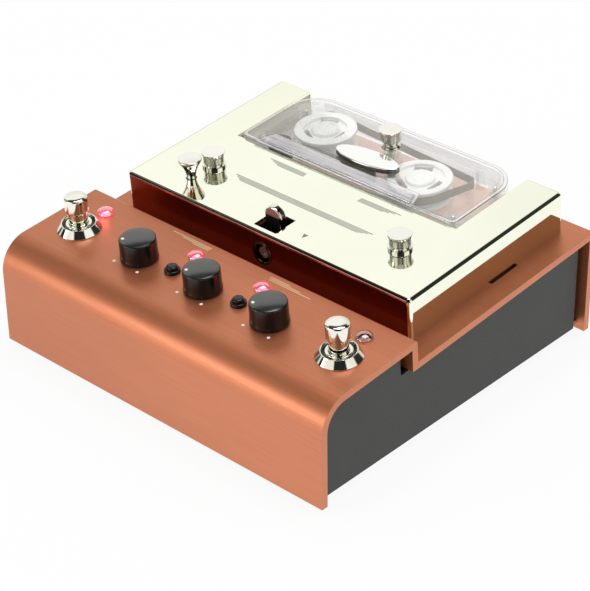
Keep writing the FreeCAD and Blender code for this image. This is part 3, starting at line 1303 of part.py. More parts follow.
make_top_shell()
for cheek, hand in SIDES:
    make_side_panel(cheek, hand)
make_base()
make_footswitches()
make_knobs()
make_push_buttons()
make_lamps()
make_boards()
make_sockets()
make_deck_cover()
make_bay_liner()
make_deck_controls()
make_lock()
make_front_screw()
make_transport()
make_heads()
make_belt()
make_cassette()
make_tape()
doc.recompute()

for item in doc.Objects:
    if "Invalid" in item.State or "Error" in item.State:
        raise RuntimeError("%s failed: %s" % (item.Label, item.State))
for piece in nodes:
    if piece.Shape.isNull() or not piece.Shape.isValid():
        raise RuntimeError("%s has no sound shape" % piece.Label)

os.makedirs("parts", exist_ok=True)
for piece in nodes:
    piece.Shape.exportStep("parts/%s.step" % piece.Label)
print("%d nodes, %d solids" % (len(nodes), sum(len(piece.Shape.Solids) for piece in nodes)))
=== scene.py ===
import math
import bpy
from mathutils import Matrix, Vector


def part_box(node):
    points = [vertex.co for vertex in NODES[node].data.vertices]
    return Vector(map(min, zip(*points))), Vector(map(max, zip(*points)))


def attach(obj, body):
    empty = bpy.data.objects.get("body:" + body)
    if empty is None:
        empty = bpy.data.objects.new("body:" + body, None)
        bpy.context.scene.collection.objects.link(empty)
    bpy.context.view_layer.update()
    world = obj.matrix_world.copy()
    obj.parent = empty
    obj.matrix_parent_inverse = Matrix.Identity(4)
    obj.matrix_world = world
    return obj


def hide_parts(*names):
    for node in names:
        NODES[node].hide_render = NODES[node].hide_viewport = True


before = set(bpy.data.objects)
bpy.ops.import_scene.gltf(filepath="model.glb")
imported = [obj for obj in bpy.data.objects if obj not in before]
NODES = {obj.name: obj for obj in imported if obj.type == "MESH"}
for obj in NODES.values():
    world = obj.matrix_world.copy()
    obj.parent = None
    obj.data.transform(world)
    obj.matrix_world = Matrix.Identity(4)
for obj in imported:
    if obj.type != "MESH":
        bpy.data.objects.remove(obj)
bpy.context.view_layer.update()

# Looks of a tape echo unit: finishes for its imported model, and finely made pieces in place of plain ones.
# Pieces are drawn in millimetres in the ledge's own frame, which leans forward with the control panel and
# the tape deck: x to the right, y up the slope from the front skirt, z square to the ledge. A piece's
# place then takes it to the unit's frame in metres.

from types import SimpleNamespace

import bmesh
import bpy
from bpy.props import FloatProperty, FloatVectorProperty, IntProperty, PointerProperty
from bpy.types import Operator, Panel, PropertyGroup
from mathutils import Matrix, Vector

bl_info = {
    "name": "Tape echo unit",
    "version": (1, 0, 0),
    "blender": (4, 5, 0),
    "location": "View3D > Sidebar > Tape echo",
    "description": "Dresses the tape echo unit with its finishes, fine pieces, stage and camera",
    "category": "Object",
}

MM = 0.001
SIDES = (("left", -1), ("right", 1))

KNOBS = (("left", -1), ("middle", 0), ("right", 1))

# vertices this near each other merge: millimetres in a turned piece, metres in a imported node
TURNED_MERGE = 0.0004
TURNED_SLIVER = 0.0002
PACKED_MERGE = 2e-6
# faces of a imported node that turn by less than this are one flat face
PACKED_FLAT = math.radians(0.7)

# printed marks: their thickness, and how far they stand off the sheet, in millimetres
PRINT_THICK = 0.03
PRINT_LIFT = 0.005


# ---------------- sizes and colours

def length(name, description, size):
    """A size, given in millimetres and kept in metres."""
    return FloatProperty(name=name, description=description, default=size * MM, precision=5,
                         unit="LENGTH", subtype="DISTANCE")


def colour(name, description, value):
    return FloatVectorProperty(name=name, description=description, default=value, min=0, max=1, size=3,
                               subtype="COLOR")


def sizes_of(group):
    """The lengths of one of the scene's groups of properties, as plain numbers of millimetres."""
    values = getattr(bpy.context.scene, "tape_echo_" + group)
    return SimpleNamespace(**{key: getattr(values, key) / MM for key in values.__annotations__})


class TapeEchoCase(PropertyGroup):
    front: length("Front skirt", "Front skirt's place along Y", -86.2)
    lift: length("Ledge height", "Height of the ledge plane at the front skirt", 37.5)
    panel: length("Panel rise", "Control panel above the ledge", 10.25)
    deck: length("Deck rise", "Deck cover's top above the ledge", 18.8)
    ease: length("Eased edge", "How far the sheet metal's edges are eased", 0.22)
    slope: FloatProperty(name="Slope", description="Forward lean of panel, ledge and deck",
                         default=math.radians(4.1), subtype="ANGLE")


class TapeEchoControls(PropertyGroup):
    row: length("Control row", "Row of knobs and footswitches up the slope", 30.0)
    switch: length("Footswitch place", "Footswitch from the middle", 72.9)
    plunger: length("Footswitch head", "Radius of the footswitch's head", 5.0)
    dress: length("Dress nut", "Radius of the footswitch's nut", 9.6)
    knob_pitch: length("Knob pitch", "Spacing of the knobs", 36.6)
    knob: length("Knob", "Radius of a knob", 8.0)
    knob_top: length("Knob top", "Knob's top above the panel", 10.5)
    push: length("Push button place", "Push button from the middle", 18.6)
    push_row: length("Push button row", "Push buttons up the slope", 31.2)
    lamp_outer: length("Outer lamp", "Outer lamp from the middle", 72.6)
    lamp_inner: length("Inner lamp", "Inner lamp from the middle", 18.5)
    lamp_row: length("Lamp row", "Lamps up the slope", 44.8)
    lamp: length("Lamp", "Radius of a lamp's lens", 3.7)


class TapeEchoDeck(PropertyGroup):
    release_x: length("Release knob X", "Release knob's place", -53.0)
    release_y: length("Release knob Y", "Release knob's place up the slope", 77.8)
    thumb_x: length("Thumbscrew X", "Thumbscrew from the middle", 52.1)
    thumb_y: length("Thumbscrew Y", "Thumbscrew's place up the slope", 90.8)
    thumb: length("Thumbscrew", "Radius of a thumbscrew's knurled head", 4.5)
    grip: length("Thumbscrew grip", "Height of a thumbscrew's head", 5.2)
    case_top: length("Cassette top", "Cassette's top above the ledge", 20.2)
    case_screw_y: length("Cassette screw", "Cassette screw's place up the slope", 146.4)
    front_y: length("Deck front", "Deck's front face up the slope", 64.5)
    hole_z: length("Front hole", "Front hole above the ledge", 8.8)
    badge_y: length("Oval plate", "Oval plate's place up the slope", 131.0)
    badge_half: length("Oval plate length", "Half the oval plate's length", 16.5)
    badge_wide: length("Oval plate width", "Half the oval plate's width", 5.8)
    badge_tall: length("Oval plate thickness", "Oval plate's thickness", 2.3)


class TapeEchoCounts(PropertyGroup):
    steps: IntProperty(name="Turning steps", description="Facets round a turned piece",
                       default=96, min=16)
    grooves: IntProperty(name="Knurl grooves", description="Grooves round a thumbscrew",
                         default=22, min=8)


class TapeEchoColours(PropertyGroup):
    copper: colour("Copper", "Brushed copper-coloured sheet", (0.66, 0.222, 0.100))
    cheek: colour("Side panels", "Satin dark grey", (0.030, 0.031, 0.029))
    mirror: colour("Deck mirror", "Polished deck cover", (0.955, 0.975, 0.81))
    # the deck front's deep red tint is a painted reflection of the copper panel in front of it
    lip: colour("Deck front", "Polished front face of the deck, deep red", (0.32, 0.10, 0.065))
    lamp: colour("Lamp", "Light of the lamps", (1.0, 0.10, 0.16))
    reel: colour("Reels", "White reel plastic", (0.97, 0.97, 0.94))
    tape: colour("Tape", "Olive grey tape", (0.42, 0.41, 0.33))
    print_white: colour("Panel print", "White marks on the panel", (0.92, 0.88, 0.78))
    print_grey: colour("Deck print", "Grey marks on the deck", (0.20, 0.205, 0.175))


# ---------------- places

def leaning(x=0, y=0, z=0):
    """A place in the leaning frame of the ledge."""
    case = bpy.context.scene.tape_echo_case
    ground = Matrix.Translation((0, case.front, case.lift)) @ Matrix.Rotation(case.slope, 4, "X")
    return ground @ Matrix.Scale(MM, 4) @ Matrix.Translation((x, y, z))


def on_panel(x, y, z=0):
    """A place on the control panel, or z above it."""
    return leaning(x, y, sizes_of("case").panel + z)


# ---------------- meshes

def rounded(bm, edges, width, segments):
    """Rounds edges to a width."""
    bmesh.ops.bevel(bm, geom=edges, offset=width, offset_type="OFFSET", affect="EDGES", segments=segments,
                    profile=0.5, material=-1, clamp_overlap=True)


def soften(bm, width, angle=32):
    """Rounds the edges that turn by more than an angle a little, as a real edge is."""
    sharp = [edge for edge in bm.edges
             if edge.is_manifold and edge.calc_face_angle(0) > math.radians(angle)]
    if width and sharp:
        rounded(bm, sharp, width, 2)


def spun(points, steps):
    """A ring or a solid turned about the upright axis from a closed outline of (radius, height) pairs."""
    bm = bmesh.new()
    verts = [bm.verts.new((radius, 0, height)) for radius, height in points]
    edges = []
    for number, (radius, _) in enumerate(points):
        after = (number + 1) % len(points)
        if radius or points[after][0]:  # an edge on the axis would sweep no surface
            edges.append(bm.edges.new((verts[number], verts[after])))
    bmesh.ops.spin(bm, geom=verts + edges, cent=(0, 0, 0), axis=(0, 0, 1), dvec=(0, 0, 0), angle=math.tau,
                   steps=steps, use_merge=True)
    bmesh.ops.remove_doubles(bm, verts=bm.verts, dist=TURNED_MERGE)
    bmesh.ops.dissolve_degenerate(bm, edges=bm.edges, dist=TURNED_SLIVER)
    bmesh.ops.recalc_face_normals(bm, faces=bm.faces)
    return bm


def raised(bm, height):
    """Flat faces raised into a solid."""
    grown = bmesh.ops.extrude_face_region(bm, geom=bm.faces[:])["geom"]
    verts = [item for item in grown if isinstance(item, bmesh.types.BMVert)]
    bmesh.ops.translate(bm, vec=(0, 0, height), verts=verts)
    bmesh.ops.recalc_face_normals(bm, faces=bm.faces)
    return bm


def slab(outline, floor, height):
    """An outline of (x, y) pairs raised into a slab."""
    bm = bmesh.new()
    bm.faces.new([bm.verts.new((x, y, floor)) for x, y in outline])
    return raised(bm, height)


def disc(half_length, half_width, height, segments=24):
    """A round or oval disc."""
    bm = bmesh.new()
    bmesh.ops.create_circle(bm, cap_ends=True, segments=segments, radius=1)
    bmesh.ops.scale(bm, vec=(half_length, half_width, 1), verts=bm.verts)
    return raised(bm, height)


def add_to(whole, bm):
    """Moves a small shape into a bmesh that gathers several."""
    mesh = bpy.data.meshes.new("small")
    bm.to_mesh(mesh)
    bm.free()
    whole.from_mesh(mesh)
    bpy.data.meshes.remove(mesh)


def repeated(bm, places):
    """One mesh that holds the shape at each of the places."""
    single = bpy.data.meshes.new("single")
    bm.to_mesh(single)
    bm.free()
    whole = bmesh.new()
    for place in places:
        one = single.copy()
        one.transform(place)
        whole.from_mesh(one)
        bpy.data.meshes.remove(one)
    bpy.data.meshes.remove(single)
    return whole


def piece(name, bm, body, *finishes, nodes=(), slot=None, smooth=42):
    """A piece that moves with a body, and stands for the nodes that it is made in place of."""
    mesh = bpy.data.meshes.new(name)
    bm.to_mesh(mesh)
    bm.free()
    mesh.shade_smooth()
    mesh.set_sharp_from_angle(angle=math.radians(smooth))
    thing = bpy.data.objects.new(name, mesh)
    bpy.context.scene.collection.objects.link(thing)
    for finish in finishes:
        mesh.materials.append(FINISHES[finish])
    weighted = thing.modifiers.new("weighted normals", "WEIGHTED_NORMAL")
    weighted.keep_sharp = True
    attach(thing, body)
    if nodes:
        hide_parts(*nodes)


def first_finish(face):
    """The choice for a piece that has one finish."""
    return 0


def choose_finishes(bm, choose):
    for face in bm.faces:
        face.material_index = choose(face)


def turned(name, points, places, body, *finishes, nodes=(), slot=None, ease=0, steps=None,
           choose=first_finish):
    """A piece turned from its outline, at one or more places; choose gives a face its finish's number."""
    bm = spun(points, steps or bpy.context.scene.tape_echo_counts.steps)
    soften(bm, ease)
    choose_finishes(bm, choose)
    piece(name, repeated(bm, places), body, *finishes, nodes=nodes, slot=slot)


def dressed(name, node, body, *finishes, ease=0.15, slot=None, choose=first_finish, extra=None):
    """A node's own shape, its flat faces made whole and its edges eased; extra works on the result."""
    bm = bmesh.new()
    bm.from_mesh(NODES[node].data)
    bmesh.ops.remove_doubles(bm, verts=bm.verts, dist=PACKED_MERGE)
    bmesh.ops.dissolve_limit(bm, angle_limit=PACKED_FLAT, use_dissolve_boundaries=False, verts=bm.verts,
                             edges=bm.edges, delimit={"NORMAL"})
    soften(bm, ease * MM, angle=38)
    choose_finishes(bm, choose)
    if extra:
        extra(bm)
    piece(name, bm, body, *finishes, nodes=(node,), slot=slot)


def refinish(node, finish):
    """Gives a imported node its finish."""
    slots = NODES[node].data.materials
    slots.clear()
    slots.append(FINISHES[finish])


# ---------------- finishes

FINISHES = {}


def ramp(tree, factor, stops):
    """A colour ramp from (place, colour) stops."""
    node = tree.nodes.new("ShaderNodeValToRGB")
    points = node.color_ramp.elements
    while len(points) < len(stops):
        points.new(0.5)
    for point, (place, shade) in zip(points, stops):
        point.position = place
        point.color = (*shade, 1)
    tree.links.new(factor, node.inputs["Fac"])
    return node.outputs["Color"]


def multiplied(tree, first, second):
    """Two colours multiplied."""
    node = tree.nodes.new("ShaderNodeMix")
    node.data_type = "RGBA"
    node.blend_type = "MULTIPLY"
    node.inputs["Factor"].default_value = 1.0
    tree.links.new(first, node.inputs["A"])
    tree.links.new(second, node.inputs["B"])
    return node.outputs["Result"]


def maths(tree, operation, *values):
    """A sum or other operation on numbers and sockets."""
    node = tree.nodes.new("ShaderNodeMath")
    node.operation = operation
    for socket, value in zip(node.inputs, values):
        if isinstance(value, bpy.types.NodeSocket):
            tree.links.new(value, socket)
        else:
            socket.default_value = value
    return node.outputs["Value"]


def blended(tree, factor, first, second):
    """One shader, passing into a second one where the factor is 1."""
    node = tree.nodes.new("ShaderNodeMixShader")
    for number, source in enumerate((factor, first, second)):
        tree.links.new(source, node.inputs[number])
    return node.outputs["Shader"]


class Finish:
    """A material under construction: its shader, and the few kinds of node that finishes here use."""

    def __init__(self, name):
        self.material = bpy.data.materials.new(name)
        self.material.use_nodes = True
        self.tree = self.material.node_tree
        self.shader = self.tree.nodes["Principled BSDF"]
        FINISHES[name] = self.material

    def link(self, source, target):
        self.tree.links.new(source, target)

    def feed(self, **sources):
        """Links sockets to the shader's inputs."""
        for name, source in sources.items():
            self.link(source, self.shader.inputs[name.replace("_", " ")])

    def settings(self, **values):
        """Sets the shader's inputs that are the same all over."""
        for name, value in values.items():
            self.shader.inputs[name.replace("_", " ")].default_value = value

    def space(self, scale=(1, 1, 1)):
        """Object coordinates, scaled along each axis."""
        where = self.tree.nodes.new("ShaderNodeTexCoord")
        stretch = self.tree.nodes.new("ShaderNodeMapping")
        stretch.inputs["Scale"].default_value = scale
        self.link(where.outputs["Object"], stretch.inputs["Vector"])
        return stretch.outputs["Vector"]

    def along(self, axis):
        """How far a point is along one axis, in metres."""
        parts = self.tree.nodes.new("ShaderNodeSeparateXYZ")
        self.link(self.space(), parts.inputs["Vector"])
        return parts.outputs[axis]

    def noise(self, vector, scale, detail=4.0, rough=0.55):
        node = self.tree.nodes.new("ShaderNodeTexNoise")
        node.inputs["Scale"].default_value = scale
        node.inputs["Detail"].default_value = detail
        node.inputs["Roughness"].default_value = rough
        self.link(vector, node.inputs["Vector"])
        return node.outputs["Fac"]

    def shades(self, factor, *stops):
        return ramp(self.tree, factor, stops)

    def spread(self, factor, low, high, start=0.3, end=0.7):
        """A factor's middle part, from start to end, spread from low to high."""
        node = self.tree.nodes.new("ShaderNodeMapRange")
        node.inputs["From Min"].default_value = start
        node.inputs["From Max"].default_value = end
        node.inputs["To Min"].default_value = low
        node.inputs["To Max"].default_value = high
        self.link(factor, node.inputs["Value"])
        return node.outputs["Result"]

    def relief(self, height, strength, depth=0.0001):
        node = self.tree.nodes.new("ShaderNodeBump")
        node.inputs["Strength"].default_value = strength
        node.inputs["Distance"].default_value = depth
        self.link(height, node.inputs["Height"])
        self.feed(Normal=node.outputs["Normal"])


def tinted(shade, factor):
    return tuple(min(1, channel * factor) for channel in shade)


def grained(name, shade, low, high, grain, scale, relief, change, clouds, **values):
    """Fine marks that vary the roughness from low to high, with slow changes of shade."""
    finish = Finish(name)
    marks = finish.noise(finish.space(grain), scale)
    broad = finish.noise(finish.space(), *clouds)
    darker, lighter = tinted(shade, 1 - change), tinted(shade, 1 + change)
    finish.feed(Base_Color=finish.shades(broad, (0.35, darker), (0.65, lighter)),
                Roughness=finish.spread(marks, low, high))
    finish.relief(marks, relief)
    finish.settings(**values)


def metal(name, shade, low, high, grain=(1, 1, 1), scale=600, relief=0.03, change=0.06, **values):
    """Bare or coloured metal: the grain's stretch gives its brushing, turning or polish marks."""
    grained(name, shade, low, high, grain, scale, relief, change, (28, 3), Metallic=1.0, **values)


def plastic(name, shade, low, high, scale=900, relief=0.04, change=0.08, **values):
    """Moulded or painted, with a fine skin texture."""
    grained(name, shade, low, high, (1, 1, 1), scale, relief, change, (40, 2), **values)


def painted_reflection_over_shade(name, upper, lower, height, **values):
    """Paints one colour above a height in metres and another below it, with a soft edge between them: a
    painted reflection over painted shade.
    """
    finish = Finish(name)
    softness = 0.0007
    rise = finish.spread(finish.along("Z"), 0, 1, height - softness, height + softness)
    finish.feed(Base_Color=finish.shades(rise, (0.25, lower), (0.75, upper)))
    finish.settings(**values)


def brushed_copper(shade):
    """Anodised sheet, brushed from side to side, a little uneven from stroke to stroke; painted light makes
    it lighter towards the right.
    """
    finish = Finish("copper_anodised")
    strokes = finish.noise(finish.space((9, 700, 700)), 3.0, 6, 0.6)
    hair = finish.noise(finish.space((30, 3000, 3000)), 3.0, 3, 0.6)
    clouds = finish.noise(finish.space((6, 14, 14)), 2.0, 3)
    # painted light: the shade lightens from left to right along X, over slow random clouds of tone
    painted_light_to_the_right = 2.4
    tone_and_painted_light = maths(finish.tree, "MULTIPLY_ADD", finish.along("X"), painted_light_to_the_right, clouds)
    stroke_shade = finish.shades(strokes, (0.3, tinted(shade, 0.93)), (0.7, tinted(shade, 1.06)))
    tone_and_painted_light_shade = finish.shades(tone_and_painted_light, (0.22, (0.88, 0.84, 0.80)), (0.78, (1, 1, 1)))
    finish.feed(Base_Color=multiplied(finish.tree, stroke_shade, tone_and_painted_light_shade),
                Roughness=finish.spread(hair, 0.37, 0.52))
    finish.relief(strokes, 0.07, 0.00005)
    finish.settings(Metallic=0.82, Coat_Weight=0.5, Coat_Roughness=0.32)


def clear_plastic(name, shade, face, edge, rough=0.05, grain=(160, 160, 160), change=0.04,
                  metallic=1.0, **values):
    """Clear moulding: face and edge are its alpha where it is seen face on and edge on."""
    finish = Finish(name)
    ripple = finish.noise(finish.space(grain), 1, 2)
    weight = finish.tree.nodes.new("ShaderNodeLayerWeight")
    weight.inputs["Blend"].default_value = 0.5
    finish.feed(Base_Color=finish.shades(ripple, (0.38, tinted(shade, 1 - change)), (0.62, shade)),
                Roughness=finish.spread(ripple, rough * 0.6, rough * 1.6),
                Alpha=finish.spread(weight.outputs["Facing"], face, edge, 0.35, 1.0))
    finish.relief(ripple, 0.05, 0.0004)
    finish.settings(Metallic=metallic, **values)


def lamp_light(name, shade, strength):
    """A bulb that glows."""
    finish = Finish(name)
    glow = finish.noise(finish.space(), 700, 2)
    finish.feed(Base_Color=finish.shades(glow, (0.3, tinted(shade, 0.8)), (0.7, shade)))
    finish.settings(Roughness=0.25, Emission_Color=(*shade, 1), Emission_Strength=strength)


def circuit_board(name, shade):
    """Lacquered board with fine lines of tracks."""
    finish = Finish(name)
    vector = finish.space()
    tracks = finish.tree.nodes.new("ShaderNodeTexBrick")
    tracks.inputs["Scale"].default_value = 300
    tracks.inputs["Mortar Size"].default_value = 0.012
    for socket, factor in (("Color1", 1.0), ("Color2", 0.9), ("Mortar", 1.7)):
        tracks.inputs[socket].default_value = (*tinted(shade, factor), 1)
    finish.link(vector, tracks.inputs["Vector"])
    finish.feed(Base_Color=tracks.outputs["Color"],
                Roughness=finish.spread(finish.noise(vector, 500), 0.25, 0.4))


def make_finishes():
    """Makes all finishes, under the names of the record's material slots and a few more."""
    colours = bpy.context.scene.tape_echo_colours
    polish = {"scale": 120, "relief": 0.003}
    gloss = {"scale": 1600, "relief": 0.012, "change": 0.15}
    warm_white = (1, 0.98, 0.92, 1)
    # painted light: the clear walls and floor glow a faint warm white of their own, to look whiter
    painted_glow = {"metallic": 0.3, "Emission_Color": warm_white, "Emission_Strength": 0.22}

    # case and deck
    brushed_copper(colours.copper)
    plastic("cheek_grey", colours.cheek, 0.42, 0.55, scale=1500, relief=0.05, change=0.05)
    metal("plate_zinc", (0.55, 0.56, 0.56), 0.30, 0.45, grain=(1, 8, 8), scale=180, relief=0.05)
    metal("mirror_nickel", colours.mirror, 0.015, 0.05, change=0.012, **polish)
    # the polished front face, tinted deep red: a painted reflection of the copper panel in front of it
    metal("deck_lip_painted_reflection", colours.lip, 0.10, 0.15, change=0.05, Anisotropic=0.9, **polish)
    # a dark grey line of painted shade along the deck's left edge
    metal("deck_edge_painted_shade", (0.20, 0.195, 0.17), 0.05, 0.10, **polish)
    # darker copies of the front face for the bend above it: painted shade that dims the lamps' reflection
    # there
    metal("deck_hem_painted_shade", (0.13, 0.055, 0.047), 0.08, 0.14, Anisotropic=0.9, **polish)
    metal("deck_fold_painted_shade", (0.055, 0.022, 0.018), 0.08, 0.14, Anisotropic=0.9, **polish)
    # bay liner: floor and walls along X light olive, raised bright as painted light against the shade in
    # the bay; walls facing front and back near black
    plastic("liner_olive_painted_light", (0.56, 0.57, 0.42), 0.34, 0.46, scale=1200, relief=0.06)
    plastic("liner_black", (0.05, 0.05, 0.045), 0.38, 0.5, scale=1200, relief=0.06)
    # the lock tab's face: rosy above, a painted reflection of the copper panel; near black below, painted
    # shade down in its slot
    painted_reflection_over_shade("rosy_painted_reflection_over_shade", (0.42, 0.17, 0.15), (0.012, 0.011, 0.009), 0.0636, Roughness=0.22,
             Metallic=0.2)

    # screws, switches and knobs
    metal("black_chrome", (0.10, 0.085, 0.08), 0.10, 0.18, scale=200, relief=0.01)
    metal("chrome", (0.90, 0.89, 0.80), 0.03, 0.08, scale=200, relief=0.004, change=0.01)
    metal("steel", (0.62, 0.62, 0.60), 0.22, 0.34, grain=(1, 1, 12), scale=220, relief=0.03)
    metal("nickel_polished", (0.93, 0.92, 0.84), 0.05, 0.11, grain=(1, 1, 20), scale=180, relief=0.01)
    metal("nickel_knurl", (0.82, 0.81, 0.74), 0.27, 0.36, grain=(1, 1, 20), scale=180, relief=0.02)
    plastic("black_plastic", (0.006, 0.005, 0.005), 0.16, 0.24, **gloss)
    plastic("knob_face", (0.012, 0.012, 0.010), 0.14, 0.22, IOR=1.95, **gloss)
    plastic("rubber", (0.02, 0.02, 0.02), 0.65, 0.8, scale=1800, relief=0.12)
    plastic("belt_rubber", (0.03, 0.03, 0.03), 0.5, 0.62, scale=1800, relief=0.1)

    # lamps
    clear_plastic("lamp_glowing", (1.0, 0.72, 0.78), 0.38, 0.95, 0.06,
                  Emission_Color=(1.0, 0.12, 0.20, 1), Emission_Strength=0.36)
    clear_plastic("lamp_clear", (0.86, 0.72, 0.72), 0.30, 0.95, 0.06)
    lamp_light("led_red", (1.0, 0.25, 0.42), 1.4)
    lamp_light("led_dim", (0.55, 0.16, 0.18), 0.12)
    lamp_light("led_lit", (1.0, 0.10, 0.20), 7.0)

    # cassette
    clear_plastic("cassette_clear", (0.97, 0.97, 0.96), 0.05, 0.32)
    clear_plastic("cassette_wall", (0.97, 0.96, 0.91), 0.18, 0.50, **painted_glow)
    clear_plastic("cassette_haze_and_glow", (0.97, 0.96, 0.92), 0.22, 0.45, **painted_glow)
    # grey outlines, a white rim and a dark fine line: painted reflection where the clear lid's edges catch
    # and bend the light
    clear_plastic("cassette_edge", (0.58, 0.56, 0.61), 0.70, 0.95, 0.16)
    clear_plastic("cassette_rim", (1.0, 0.99, 0.97), 0.52, 0.85, 0.10, grain=(60, 60, 60), change=0.06)
    clear_plastic("cassette_line", (0.26, 0.24, 0.27), 0.60, 0.85, 0.16)
    # the front ridge: bright and dark streaks along X are painted highlights, with a faint painted glow
    clear_plastic("cassette_ridge", (0.98, 0.97, 0.99), 0.42, 0.80, 0.10, grain=(26, 620, 620),
                  change=0.42, metallic=0.7, Emission_Color=(1, 0.98, 1, 1), Emission_Strength=0.10)
    plastic("reel_white", colours.reel, 0.22, 0.32, scale=900, relief=0.02, change=0.015)
    plastic("tape_brown", colours.tape, 0.28, 0.42, scale=700, relief=0.02)
    metal("badge_silver", (0.98, 0.98, 0.95), 0.06, 0.14, grain=(40, 900, 900), scale=2, relief=0.012,
          change=0.01)
    # the oval plate's sides: the same bare metal, painted dark grey as shade
    metal("badge_side_painted_shade", (0.20, 0.20, 0.17), 0.25, 0.4, scale=300, relief=0.03)

    # transport and boards
    metal("brass", (0.75, 0.56, 0.25), 0.20, 0.32, grain=(1, 1, 10), scale=200)
    circuit_board("board_green", (0.02, 0.12, 0.055))
    metal("head_metal", (0.66, 0.67, 0.68), 0.12, 0.22, grain=(1, 1, 8), scale=200)

    # print
    plastic("print_white", colours.print_white, 0.5, 0.65)
    plastic("print_cream", (0.80, 0.62, 0.36), 0.5, 0.65)
    plastic("print_grey", colours.print_grey, 0.5, 0.65)


# ---------------- case

class TAPEECHO_OT_shell(Operator):
    """Fold the copper-coloured sheet of the case"""
    bl_idname = "tape_echo.shell"
    bl_label = "Folded case"

    def execute(self, context):
        dressed("folded_case", "top_shell", "unit", "copper_anodised", ease=sizes_of("case").ease,
                slot="copper_anodised")
        return {"FINISHED"}


class TAPEECHO_OT_side_panels(Operator):
    """Set the two dark side panels into the case"""
    bl_idname = "tape_echo.side_panels"
    bl_label = "Side panels"

    def execute(self, context):
        for name, _ in SIDES:
            dressed("side_" + name, "side_panel_" + name, "unit", "cheek_grey", slot="cheek_grey")
        return {"FINISHED"}


class TAPEECHO_OT_underside(Operator):
    """Close the case with its base, screws and feet"""
    bl_idname = "tape_echo.underside"
    bl_label = "Underside"

    def execute(self, context):
        refinish("base_plate", "plate_zinc")
        refinish("base_screws", "steel")
        refinish("rubber_feet", "rubber")
        return {"FINISHED"}


def add_bar(whole, left, right, y, width):
    """Adds a thin printed bar to the marks that are printed with it."""
    half = width / 2
    outline = [(left, y - half), (right, y - half), (right, y + half), (left, y + half)]
    add_to(whole, slab(outline, 0, PRINT_THICK))


class TAPEECHO_OT_panel_print(Operator):
    """Print the dots and pinstripes on the control panel"""
    bl_idname = "tape_echo.panel_print"
    bl_label = "Panel print"

    def execute(self, context):
        sizes = sizes_of("controls")
        radius, aside, below = 0.7, 6.8, 8.05  # of the dots at the ends of each knob's turn
        dots = [on_panel(number * sizes.knob_pitch + side * aside, sizes.row - below, PRINT_LIFT)
                for _, number in KNOBS for _, side in SIDES]
        piece("panel_dots", repeated(disc(radius, radius, PRINT_THICK), dots), "unit", "print_white")

        stripes, width = bmesh.new(), 0.34
        for left, right, y in ((-39.4, -17.2, 52.7), (-33.2, -17.5, 51.8), (-26.8, -17.8, 50.9),
                               (16.6, 38.9, 50.9), (16.3, 32.6, 51.8), (16.0, 26.4, 52.7)):
            add_bar(stripes, left, right, y, width)
        piece("panel_pinstripes", repeated(stripes, [on_panel(0, 0, PRINT_LIFT)]), "unit", "print_cream")
        return {"FINISHED"}


# ---------------- controls

class TAPEECHO_OT_footswitches(Operator):
    """Turn the chromed footswitches and their dress nuts"""
    bl_idname = "tape_echo.footswitches"
    bl_label = "Footswitches"

    def execute(self, context):
        sizes = sizes_of("controls")
        head, nut = sizes.plunger, sizes.dress
        places = [on_panel(side * sizes.switch, sizes.row) for _, side in SIDES]
        plunger = [
            (0, -9.7), (4.0, -9.7), (4.0, 8.2), (4.12, 8.5), (4.62, 8.95), (head - 0.08, 9.3),
            (head, 9.8), (head, 14.9), (head - 0.1, 15.35), (head - 0.42, 15.72), (head - 1.0, 15.96),
            (head - 2.4, 16.08), (0, 16.1),
        ]
        for (name, _), place in zip(SIDES, places):
            turned("footswitch_plunger_" + name, plunger, [place], "footswitch_" + name, "chrome",
                   nodes=("footswitch_button_" + name,), slot="chrome")
        turned("footswitch_dress_nuts", [
            (6.2, 0), (nut, 0), (nut, 0.35), (nut - 1.95, 2.85), (nut - 2.0, 3.1), (nut - 2.16, 3.27),
            (nut - 2.4, 3.26), (nut - 2.6, 3.1), (nut - 2.85, 1.3), (6.2, 1.1),
        ], places, "unit", "chrome", nodes=("footswitch_nuts",), slot="chrome", ease=0.05)
        turned("footswitch_bushings", [
            (4.06, -13.2), (8.4, -13.2), (8.4, -3.2), (6.0, -3.2), (6.0, 1.5), (5.6, 1.5), (5.6, 2.75),
            (5.45, 3.0), (5.1, 3.1), (4.5, 3.1), (4.2, 2.95), (4.06, 2.7),
        ], places, "unit", "chrome", nodes=("footswitch_bodies",), slot="chrome", ease=0.04)
        turned("footswitch_lock_washers", [(5.64, 1.15), (6.7, 1.35), (6.7, 1.6), (5.64, 1.6)], places,
               "unit", "black_plastic", ease=0.05)
        half, foot, height = 8.5, -23.2, 9.9
        can = slab([(-half, -half), (half, -half), (half, half), (-half, half)], foot, height)
        soften(can, 0.5)
        piece("footswitch_cans", repeated(can, places), "unit", "black_plastic")
        return {"FINISHED"}


